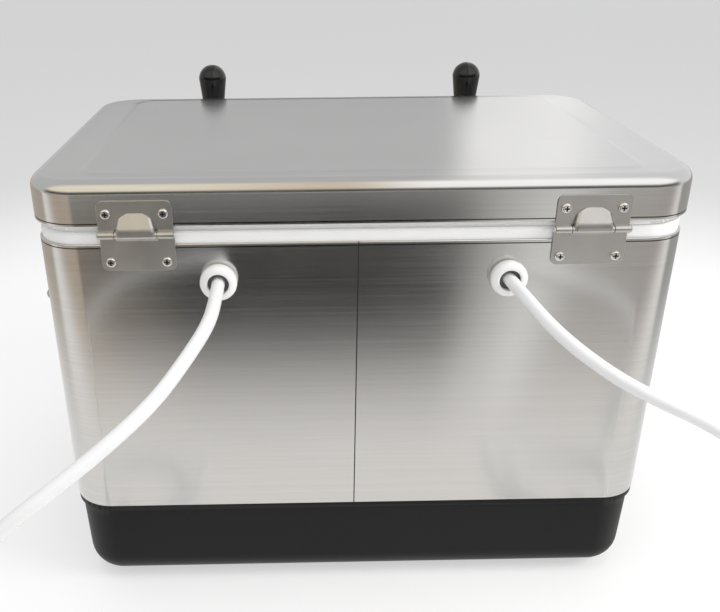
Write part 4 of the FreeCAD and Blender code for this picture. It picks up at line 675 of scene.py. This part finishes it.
def leaf_plate(name, x, back, low, high, rounded):
    """Flat plate of a hinge leaf with two rounded corners at one level."""
    plate = slab(name, (x - LEAF_HALF, back, low), (x + LEAF_HALF, back + LEAF, high))
    choose(plate, "EDGE", lambda edge: level_edge(edge, rounded)
           and near(edge.verts[0].co.x, edge.verts[1].co.x))
    bpy.ops.mesh.bevel(offset=LEAF_CORNER, segments=10)
    round_all(plate, EDGE_ROUND, 2, lambda spot: near(spot.y, back + LEAF))
    return plate


def barrel(name, low_x, high_x):
    """Rolled barrel of a leaf, bored for the pin."""
    piece = drum(name, ((low_x + high_x) / 2, PIN_Y, PIN_Z), BARREL, high_x - low_x, "X", 40)
    for end in (low_x, high_x):
        round_all(piece, EDGE_ROUND, 2, lambda spot: near(spot.x, end))
    return cut_by(piece, drum("bore", ((low_x + high_x) / 2, PIN_Y, PIN_Z), PIN_BORE, 0.1, "X", 24))


def hinge_hood(name, x):
    """Pressed hood that covers the middle knuckle and runs out upwards into the plate."""
    hood = slab(name, (x - HOOD_FOOT, LID_Y + 0.0008, PIN_Z - 0.0003),
                (x + HOOD_FOOT, HOOD_FRONT, HOOD_TOP))
    choose(hood, "FACE", lambda face: True)
    bpy.ops.mesh.bisect(plane_co=(0, 0, PIN_Z + HOOD_FOLD), plane_no=(0, 0, 1))
    choose(hood, "VERT", lambda corner: near(corner.co.z, HOOD_TOP))
    shape = bmesh.from_edit_mesh(hood.data)
    for corner in shape.verts:
        if corner.select:
            corner.co.x += math.copysign(HOOD_FOOT - HOOD_HEAD, x - corner.co.x)
            if near(corner.co.y, HOOD_FRONT):
                corner.co.y = LID_Y + LEAF + 0.0004
    bmesh.update_edit_mesh(hood.data)
    choose(hood, "EDGE", lambda edge: edge_middle(edge).y > LID_Y + LEAF + 0.0003
           and edge_middle(edge).z > PIN_Z + 0.001 and not near(edge_middle(edge).z, HOOD_TOP))
    bpy.ops.mesh.bevel(offset=HOOD_ROUND, segments=8)
    cut_by(hood, drum("arch", (x, LID_Y, PIN_Z), HOOD_ARCH, 0.05, "Y", 160), "INTERSECT")
    return cut_by(hood, drum("hollow", (x, PIN_Y, PIN_Z), BARREL + HOOD_GAP, 0.1, "X", 40))


def lid_leaf(name, x):
    """Lid's leaf: plate, two barrels and the hood."""
    notch = KNUCKLE_HALF + KNUCKLE_GAP
    plate = leaf_plate(name, x, LID_Y, PIN_Z + 0.0006, LEAF_TOP, LEAF_TOP)
    cut_by(plate, slab("window", (x - notch, LID_Y - 0.002, PIN_Z - 0.01),
                       (x + notch, LID_Y + 0.01, PIN_Z + 0.0045)))
    ends = [barrel(name + "_barrel", x + low, x + high)
            for low, high in ((-LEAF_HALF, -notch), (notch, LEAF_HALF))]
    return soften(join(name, plate, *ends, hinge_hood(name + "_hood", x)))


def body_leaf(name, x):
    """Chest's leaf: plate, the web that steps out to the pin, and the middle knuckle."""
    plate = leaf_plate(name, x, WALL_Y, LEAF_BOTTOM, PIN_Z - 0.0045, LEAF_BOTTOM)
    web = slab(name + "_web", (x - KNUCKLE_HALF, WALL_Y, PIN_Z - 0.0068),
               (x + KNUCKLE_HALF, WALL_Y + LEAF, PIN_Z - 0.0006))
    cut_level(web, PIN_Z - 0.0044)
    choose(web, "VERT", lambda corner: corner.co.z > PIN_Z - 0.005)
    bpy.ops.transform.translate(value=(0, LID_Y - WALL_Y, 0))
    knuckle = barrel(name + "_knuckle", x - KNUCKLE_HALF, x + KNUCKLE_HALF)
    return soften(join(name, plate, web, knuckle))


GLAND_X, GLAND_Z = 0.131, 0.3565
GLAND_RADIUS, GLAND_RISE, GLAND_HEEL = 0.0168, 0.013, 0.0042
GLAND_MOUTH, GLAND_NECK, GLAND_SLEEVE = 0.0097, 0.0063, 0.0095
GLAND_ROUND, MOUTH_ROUND = 0.0055, 0.0012
SLEEVE_END, MOUTH_Y = 0.151, WALL_Y + GLAND_RISE * 0.45
SEAL_GAP, SEAL_DEPTH, SEAL_BORE = 0.0001, 0.0022, 0.0064


def gland_model(name, x):
    """Round white ring with a deep mouth, and the sleeve that passes through the wall."""
    front = WALL_Y + GLAND_RISE
    gland = drum(name, (x, WALL_Y + GLAND_RISE / 2, GLAND_Z), GLAND_RADIUS, GLAND_RISE, "Y", 72)
    round_all(gland, GLAND_ROUND, 10, lambda spot: near(spot.y, front))
    round_all(gland, GLAND_HEEL, 8, lambda spot: near(spot.y, WALL_Y))
    choose(gland, "FACE", lambda face: face.normal.y < -0.999 and len(face.verts) > 4)
    bpy.ops.mesh.inset(thickness=GLAND_RADIUS - GLAND_HEEL - GLAND_SLEEVE)
    bpy.ops.mesh.extrude_region_move(TRANSFORM_OT_translate={"value": (0, SLEEVE_END - WALL_Y, 0)})
    cut_by(gland, drum("neck", (x, 0.18, GLAND_Z), GLAND_NECK, 0.2, "Y", 72))
    cut_by(gland, drum("mouth", (x, MOUTH_Y + 0.02, GLAND_Z), GLAND_MOUTH, 0.04, "Y", 72))
    round_all(gland, MOUTH_ROUND, 4, lambda spot: near(spot.y, front)
              and near(math.hypot(spot.x - x, spot.z - GLAND_Z), GLAND_MOUTH, 0.0002))
    return soften(gland)


def gland_seal_and_shade(name, x):
    """Grey rubber ring deep in the gland's mouth that grips the hose: a seal, made dark enough to be painted
    shade in the mouth as well.
    """
    back = MOUTH_Y + SEAL_GAP
    ring = drum(name, (x, back + SEAL_DEPTH / 2, GLAND_Z), GLAND_MOUTH - SEAL_GAP, SEAL_DEPTH, "Y", 64)
    round_all(ring, 0.0006, 3, lambda spot: near(spot.y, back + SEAL_DEPTH))
    return soften(cut_by(ring, drum("hole", (x, back, GLAND_Z), SEAL_BORE, 0.02, "Y", 64)))


class COOLER_OT_shell(bpy.types.Operator):
    """Brushed steel sheets of the chest and the lid"""

    bl_idname = "cooler.shell"
    bl_label = "Steel Shell"

    def execute(self, context):
        finish_piece(chest_wrap(), "sheet", "steel_skin", "cooler", "body_wrap")
        # The dark strip in the rear seam is painted shade.
        finish_piece(seam_shade_strip(), "rubber", "black_rubber", "cooler")
        finish_piece(lid_shell(), "sheet", "steel_skin", "lid", "lid_skin")
        return {"FINISHED"}


class COOLER_OT_base(bpy.types.Operator):
    """Black moulded base"""

    bl_idname = "cooler.base"
    bl_label = "Base"

    def execute(self, context):
        dress("base", "black_base", "base_tray")
        return {"FINISHED"}


class COOLER_OT_lining(bpy.types.Operator):
    """White tub, lid liner and the foam behind them"""

    bl_idname = "cooler.lining"
    bl_label = "Lining"

    def execute(self, context):
        dress("liner", "white_liner", "inner_tub", "lid_liner")
        dress("foam", "foam_core", "body_foam", "lid_foam")
        return {"FINISHED"}


class COOLER_OT_hinges(bpy.types.Operator):
    """Two stamped hinges and their screws"""

    bl_idname = "cooler.hinges"
    bl_label = "Hinges"

    def execute(self, context):
        for side, x in (("left", HINGE_X), ("right", -HINGE_X)):
            for part, body, build in (("lid", "lid", lid_leaf), ("body", "cooler", body_leaf)):
                finish_piece(build(f"hinge_{part}_{side}", x), "plate", "hinge_steel", body,
                             f"hinge_leaf_{part}_{side}")
        for part, body, y, z in (("lid", "lid", LID_Y + LEAF, LID_SCREW_Z),
                                 ("body", "cooler", WALL_Y + LEAF, BODY_SCREW_Z)):
            drive_screws(f"{part}_hinge_screws", body,
                         [((side * HINGE_X + end * HINGE_SCREW_X, y, z), 0)
                          for side in (-1, 1) for end in (-1, 1)])
        return {"FINISHED"}


class COOLER_OT_latch(bpy.types.Operator):
    """Hasp, its base, the staple and their screws"""

    bl_idname = "cooler.latch"
    bl_label = "Latch"

    def execute(self, context):
        dress("plate", "hinge_steel", "latch_base", "latch_hasp", "latch_staple")
        drive_screws("latch_screws", "cooler",
                     [((side * LATCH_SCREW_X, -WALL_Y - LEAF, LATCH_SCREW_Z), math.pi) for side in (-1, 1)])
        return {"FINISHED"}


class COOLER_OT_handles(bpy.types.Operator):
    """Drop handles on both ends"""

    bl_idname = "cooler.handles"
    bl_label = "Handles"

    def execute(self, context):
        dress("plate", "hinge_steel", *both("handle_brackets"), *both("handle_bail"))
        dress("grip", "grip_black", *both("handle_grip"))
        dress("screw", "screw_steel", "pivot_pins")
        drive_screws("handle_screws", "cooler",
                     [((side * BRACKET_X, end * BRACKET_SCREW_Y, z), -side * math.pi / 2)
                      for side in (-1, 1) for end in (-1, 1) for z in BRACKET_SCREW_Z])
        return {"FINISHED"}


TAP_X, LEVER_Y = 0.168, -0.2467
THROAT_REACH, THROAT_EASE = 0.009, 0.00025


def bonnets():
    """The bonnets, with their throats eased so that no facet meets the lever's ball."""
    piece = merged_copy("tap_bonnets", "tap_bonnets_shown")
    for corner in piece.data.vertices:
        middle = Vector((math.copysign(TAP_X, corner.co.x), LEVER_Y))
        away = corner.co.xy - middle
        if away.length < THROAT_REACH:
            corner.co.xy = middle + away * (1 + THROAT_EASE / away.length)
    return piece


class COOLER_OT_taps(bpy.types.Operator):
    """Plated taps with their levers, valves, nuts and washers"""

    bl_idname = "cooler.taps"
    bl_label = "Taps"

    def execute(self, context):
        dress("chrome", "tap_chrome", "shank_nuts", "tap_collars",
              *both("tap_shank"), *both("tap_body"), *both("tap_lever"))
        finish_piece(bonnets(), "chrome", "tap_chrome", "cooler", "tap_bonnets")
        dress("fitting", "end_steel", *both("valve_rod"))
        dress("rubber", "black_rubber", *both("valve_washer"))
        dress("knob", "knob_black", *both("tap_knob"))
        return {"FINISHED"}


class COOLER_OT_drain(bpy.types.Operator):
    """Drain spout, its nut and seal, and the pull-out plug"""

    bl_idname = "cooler.drain"
    bl_label = "Drain"

    def execute(self, context):
        dress("gland", "drain_white", "drain_spout", "drain_nut")
        dress("knob", "plug_black", "drain_plug")
        dress("rubber", "black_rubber", "drain_seal")
        return {"FINISHED"}


class COOLER_OT_coils(bpy.types.Operator):
    """Cooling coils, their inlet fittings, tail nuts and hose clamps"""

    bl_idname = "cooler.coils"
    bl_label = "Cooling Coils"

    def execute(self, context):
        dress("coil", "coil_steel", *both("cooling_coil"))
        dress("fitting", "end_steel", "inlet_fittings", "tail_nuts")
        dress("plate", "hinge_steel", "hose_clamps")
        dress("hose", "white_hose", "hose_tails")
        return {"FINISHED"}


class COOLER_OT_glands(bpy.types.Operator):
    """White glands that the hoses leave through"""

    bl_idname = "cooler.glands"
    bl_label = "Glands"

    def execute(self, context):
        dress("gland", "white_gland", "gland_nuts")
        for side, x in (("left", GLAND_X), ("right", -GLAND_X)):
            finish_piece(gland_model(f"gland_{side}", x), "gland", "white_gland", "cooler",
                         f"hose_gland_{side}")
            finish_piece(gland_seal_and_shade(f"gland_seal_and_shade_{side}", x), "seal", "black_rubber", "cooler")
        return {"FINISHED"}


# Route of each hose from its gland to the start of its coil, in metres, then the coil,
# and the END_POINTS (back, height) that lead up to the connector.
LEFT_ROUTE = (
    (0.131, 0.19815, 0.3565), (0.1316, 0.226, 0.3522), (0.1345, 0.266, 0.3466), (0.152, 0.309, 0.333),
    (0.171, 0.346, 0.3195), (0.204, 0.379, 0.301), (0.245, 0.408, 0.279), (0.273, 0.421, 0.2625),
    (0.308, 0.440, 0.228), (0.334, 0.451, 0.184), (0.346, 0.453, 0.132), (0.347, 0.444, 0.088),
    (0.342, 0.427, 0.052), (0.335, 0.402, 0.029), (0.328, 0.3765, 0.0185), (0.325, 0.352, 0.014),
)
RIGHT_ROUTE = (
    (-0.131, 0.19815, 0.3565), (-0.1382, 0.223, 0.3513), (-0.156, 0.256, 0.335), (-0.178, 0.282, 0.321),
    (-0.206, 0.304, 0.3065), (-0.236, 0.319, 0.2955), (-0.268, 0.332, 0.284), (-0.302, 0.346, 0.264),
    (-0.330, 0.364, 0.232), (-0.348, 0.384, 0.191), (-0.356, 0.403, 0.154), (-0.358, 0.426, 0.120),
    (-0.3565, 0.4315, 0.086), (-0.350, 0.423, 0.054), (-0.3405, 0.405, 0.031), (-0.3305, 0.380, 0.0175),
    (-0.325, 0.352, 0.014),
)
COIL_CENTRE = (0.271, 0.352)
COIL_TURNS, TURN_POINTS = 2.5, 24
COIL_START, DROP_END = 0.054, 0.014
END_X, END_POINTS = 0.187, ((0.376, 0.006), (0.400, 0.0135), (0.424, 0.0135))
TIE_INSIDE, TIE_OUTSIDE, TIE_OVER, TIE_ROUND, TIE_BAND = 0.002, 0.0025, 0.0008, 0.0052, 0.001


def coil_points(sign, diameter):
    """Control points of a flat coil wound outwards, whose first quarter comes down to the floor."""
    points = []
    count = round(COIL_TURNS * TURN_POINTS)
    for step in range(1, count + 1):
        turns = step / TURN_POINTS
        angle = -turns * math.tau
        radius = COIL_START + diameter * turns
        fall = min(1.0, turns * 4)
        height = DROP_END + (diameter / 2 - DROP_END) * fall * fall * (3 - 2 * fall)
        x = sign * (COIL_CENTRE[0] + radius * math.cos(angle))
        points.append((x, COIL_CENTRE[1] + radius * math.sin(angle), height))
    return points


def smooth_line(name, points, radius):
    """A round curve whose control points are these."""
    data = bpy.data.curves.new(name, "CURVE")
    data.dimensions = "3D"
    spline = data.splines.new("NURBS")
    spline.points.add(len(points) - 1)
    for spot, point in zip(spline.points, points):
        spot.co = (*point, 1)
    spline.order_u = 3
    spline.use_endpoint_u = True
    data.bevel_depth = radius
    data.bevel_resolution = 6
    data.resolution_u = 5
    data.use_fill_caps = True
    piece = bpy.data.objects.new(name, data)
    show(piece)
    return piece


def coil_tie(name, sign, diameter, width):
    """A strap round the turns of one coil."""
    x = sign * COIL_CENTRE[0]
    inner, outer = COIL_START - TIE_INSIDE, COIL_START + COIL_TURNS * diameter + TIE_OUTSIDE
    tie = slab(name, (x - width / 2, COIL_CENTRE[1] - outer, 0),
               (x + width / 2, COIL_CENTRE[1] - inner, diameter + TIE_OVER))
    choose(tie, "EDGE", lambda edge: not near(edge.verts[0].co.x, edge.verts[1].co.x))
    bpy.ops.mesh.bevel(offset=TIE_ROUND, segments=6)
    choose(tie, "FACE", lambda face: abs(face.normal.x) > 0.9)
    bpy.ops.mesh.delete(type="FACE")
    return soften(applied(tie, "SOLIDIFY", thickness=TIE_BAND, offset=-1))


class COOLER_OT_hoses(bpy.types.Operator):
    """Free beer lines, each ending in a tied coil and a threaded connector"""

    bl_idname = "cooler.hoses"
    bl_label = "Hoses"

    def execute(self, context):
        sizes = context.scene.cooler_hose
        for side, route, sign in (("left", LEFT_ROUTE, 1), ("right", RIGHT_ROUTE, -1)):
            points = [*route, *coil_points(sign, sizes.diameter)]
            points += [(sign * END_X, y, z) for y, z in END_POINTS]
            hose = smooth_line(f"beer_line_{side}", points, sizes.diameter / 2)
            finish_piece(hose, "hose", "white_hose", "cooler", f"hose_{side}", f"hose_ring_{side}")
            tie = coil_tie(f"coil_tie_{side}", sign, sizes.diameter, sizes.tie_width)
            finish_piece(tie, "tie", "black_rubber", "cooler")
            connector = f"hose_connector_{side}"
            dress("fitting", "end_steel", connector)
            bpy.data.objects[connector + "_shown"].visible_glossy = False
        return {"FINISHED"}


# ---------------------------------------------------------------- stage

CAMERA_SPOT = (0.06045, 0.89749, 0.64753)
CAMERA_TURN, CAMERA_TILT, CAMERA_ROLL = 180 - 0.81, 90 - 25.40, -0.51
CAMERA_SHIFT = (0.07176, 0.02294)

FLOOR_RADIUS = 9
FLOOR_NEAR, FLOOR_FAR, FLOOR_LIFT = 0.75, 1.7, 0.52
DARK_BAND, DARK_MIDDLE = (0.07, 0.07, 0.07), (0.12, 0.32)
DARK_ROOM = (0.05, 0.045, 0.04)

# Bands of the mirrored floor behind the cooler: where each starts, where it is full, and its colour.
ROOM_BANDS = ((1.60, 2.0, (0.70, 0.69, 0.67)), (2.5, 3.8, DARK_ROOM))

# What polished metal sees behind the cooler, from its right side (-) to its left side (+).
ROOM_BEHIND = (
    (-0.62, (0.46, 0.43, 0.40)), (-0.50, (0.44, 0.42, 0.40)), (-0.41, (0.98, 0.97, 0.95)),
    (-0.33, (0.62, 0.61, 0.59)), (-0.22, (0.040, 0.040, 0.038)), (-0.05, (0.014, 0.014, 0.013)),
    (0.28, (0.018, 0.017, 0.016)), (0.42, (0.17, 0.15, 0.125)), (0.60, (0.50, 0.42, 0.33)),
)

PLAIN_LIGHT = (0.78, 0.78, 0.79)

# What polished metal sees above the floor, in front of the cooler and behind it, from right to left.
SKY_FRONT = ((-0.36, (0.80, 0.80, 0.81)), (-0.29, (1.0, 1.0, 1.0)),
             (-0.21, (1.0, 1.0, 1.0)), (-0.17, (0.56, 0.56, 0.565)))
SKY_BEHIND = ((-0.16, (1.25, 1.25, 1.24)), (-0.07, (0.72, 0.62, 0.48)), (0.16, (0.98, 0.90, 0.74)))


def place_camera(focal_length):
    """Camera behind the cooler, above it and turned slightly to one side."""
    data = bpy.data.cameras.new("cooler_camera")
    data.lens = focal_length
    data.sensor_width = 36
    data.shift_x, data.shift_y = CAMERA_SHIFT
    data.clip_end = 50
    camera = bpy.data.objects.new("cooler_camera", data)
    show(camera)
    turns = [Matrix.Rotation(math.radians(angle), 4, axis)
             for angle, axis in ((CAMERA_TURN, "Z"), (CAMERA_TILT, "X"), (CAMERA_ROLL, "Z"))]
    camera.matrix_world = Matrix.Translation(CAMERA_SPOT) @ turns[0] @ turns[1] @ turns[2]
    bpy.context.scene.camera = camera


def place_light(name, spot, aim, size, power, colour=(1, 1, 1)):
    data = bpy.data.lights.new(name, "AREA")
    data.shape = "RECTANGLE"
    data.size, data.size_y = size
    data.energy = power
    data.color = colour
    lamp = bpy.data.objects.new(name, data)
    show(lamp)
    lamp.matrix_world = (Matrix.Translation(spot)
                         @ (Vector(aim) - Vector(spot)).to_track_quat("-Z", "Y").to_matrix().to_4x4())
    lamp.visible_camera = False
    lamp.visible_glossy = False


def floor_material(stage):
    """White floor that keeps soft shadows. Polished metal sees it run out into a dim room."""
    n = Nodes(bpy.data.materials.new("pale_floor"))
    across, back, _ = n.place("Object")
    reach = n.length(n.coordinates.outputs["Object"])
    distance = n.spread(reach, FLOOR_NEAR, FLOOR_FAR, smooth=True)
    n.link(n.tint(distance, stage.floor, stage.backdrop), n.shader.inputs["Base Color"])
    n.shader.inputs["Roughness"].default_value = 0.6
    n.shader.inputs["Specular IOR Level"].default_value = 0.2
    side = n.maths("DIVIDE", across, n.maths("MAXIMUM", back, 0.2))
    room = n.ramp(side, -0.7, 0.7, ROOM_BEHIND)
    for start, end, colour in ROOM_BANDS:
        room = n.tint(n.spread(back, start, end, smooth=True), room, colour)
    room = n.tint(n.spread(back, 0.41, 0.95, smooth=True), (0.95, 0.925, 0.90), room)
    warm = n.tint(n.spread(across, -0.5, 0.5), (0.42, 0.41, 0.40), (0.50, 0.45, 0.38))
    around = n.tint(n.spread(reach, 0.45, 1.3, smooth=True), (0.92, 0.91, 0.90), warm)
    aside = n.maths("DIVIDE", n.maths("ABSOLUTE", across), n.maths("MAXIMUM", reach, 0.1))
    middle = n.spread(aside, *DARK_MIDDLE, 1, 0, smooth=True)
    far = n.maths("MULTIPLY", n.spread(reach, 1.9, 3.4, smooth=True), middle)
    around = n.tint(far, around, DARK_BAND)
    mirrored = n.tint(n.spread(back, 0.12, 0.34, smooth=True), around, room)
    path = n.add("ShaderNodeLightPath")
    white = n.light("ShaderNodeEmission", n.tint(distance, (1, 1, 1), stage.backdrop))
    lift = n.maths("MULTIPLY", path.outputs["Is Camera Ray"], FLOOR_LIFT)
    lifted = n.fade(lift, n.shader.outputs[0], white)
    seen = n.fade(path.outputs["Is Glossy Ray"], lifted, n.light("ShaderNodeEmission", mirrored))
    n.link(seen, n.tree.nodes["Material Output"].inputs["Surface"])
    return n.owner


class COOLER_OT_stage(bpy.types.Operator):
    """Pale floor, soft lights, backdrop and camera"""

    bl_idname = "cooler.stage"
    bl_label = "Stage"

    def execute(self, context):
        stage = context.scene.cooler_stage
        clear_selection()
        bpy.ops.mesh.primitive_circle_add(vertices=64, radius=FLOOR_RADIUS, fill_type="NGON")
        floor = context.object
        floor.name = "floor"
        floor.data.materials.append(floor_material(stage))
        place_light("ceiling_panel", (0.2, 0.3, 2.6), (0, 0, 0.1), (2.2, 1.6), 16)
        place_light("window_panel", (-1.7, 0.7, 1.3), (0, 0, 0.1), (0.9, 0.9), 24, (1, 0.98, 0.95))
        place_camera(stage.focal_length)
        make_world(stage)
        context.scene.view_settings.view_transform = "Standard"
        return {"FINISHED"}


def make_world(stage):
    """Plain soft light for what is matt, a room to mirror for what is polished, and the backdrop behind."""
    bpy.context.scene.world = bpy.data.worlds.new("soft_room")
    n = Nodes(bpy.context.scene.world)
    across, back, height = n.place("Generated")
    behind = n.spread(back, 0.05, 0.4, smooth=True)
    front = n.ramp(across, -0.5, 0.1, SKY_FRONT)
    aside = n.spread(n.maths("ABSOLUTE", across), *DARK_MIDDLE, smooth=True)
    low = n.maths("MAXIMUM", n.spread(height, 0.02, 0.2, smooth=True), aside)
    front = n.tint(low, DARK_BAND, front)
    glow = n.ramp(across, -0.5, 0.3, SKY_BEHIND)
    dusk = n.tint(n.spread(height, 0.08, 0.42, smooth=True), DARK_ROOM, glow)
    mirrored = n.light("ShaderNodeBackground", n.tint(behind, front, dusk), 1.1)
    path = n.add("ShaderNodeLightPath")
    lit = n.fade(path.outputs["Is Glossy Ray"], n.light("ShaderNodeBackground", PLAIN_LIGHT), mirrored)
    seen = n.fade(path.outputs["Is Camera Ray"], lit, n.light("ShaderNodeBackground", stage.backdrop))
    n.link(seen, n.tree.nodes["World Output"].inputs["Surface"])


class COOLER_PT_parts(bpy.types.Panel):
    """Lists the cooler's pieces"""

    bl_idname = "COOLER_PT_parts"
    bl_label = "Jockey Box Cooler"
    bl_space_type = "VIEW_3D"
    bl_region_type = "UI"
    bl_category = "Cooler"

    def draw(self, context):
        for group in (context.scene.cooler_steel, context.scene.cooler_plastic,
                      context.scene.cooler_hose, context.scene.cooler_stage):
            box = self.layout.box()
            for name in group.__annotations__:
                box.prop(group, name)
        for operator in OPERATORS:
            self.layout.operator(operator.bl_idname)


GROUPS = {"cooler_steel": CoolerSteel, "cooler_plastic": CoolerPlastic,
          "cooler_hose": CoolerHose, "cooler_stage": CoolerStage}
OPERATORS = (COOLER_OT_shell, COOLER_OT_base, COOLER_OT_lining, COOLER_OT_hinges, COOLER_OT_latch,
             COOLER_OT_handles, COOLER_OT_taps, COOLER_OT_drain, COOLER_OT_coils, COOLER_OT_glands,
             COOLER_OT_hoses, COOLER_OT_stage)


def register():
    for group in GROUPS.values():
        bpy.utils.register_class(group)
    for name, group in GROUPS.items():
        setattr(bpy.types.Scene, name, PointerProperty(type=group))
    for operator in OPERATORS:
        bpy.utils.register_class(operator)
    bpy.utils.register_class(COOLER_PT_parts)


def unregister():
    bpy.utils.unregister_class(COOLER_PT_parts)
    for operator in reversed(OPERATORS):
        bpy.utils.unregister_class(operator)
    for name in GROUPS:
        delattr(bpy.types.Scene, name)
    for group in reversed(list(GROUPS.values())):
        bpy.utils.unregister_class(group)


def main():
    register()
    for operator in OPERATORS:
        group, name = operator.bl_idname.split(".")
        getattr(getattr(bpy.ops, group), name)()


if __name__ == "__main__":
    main()
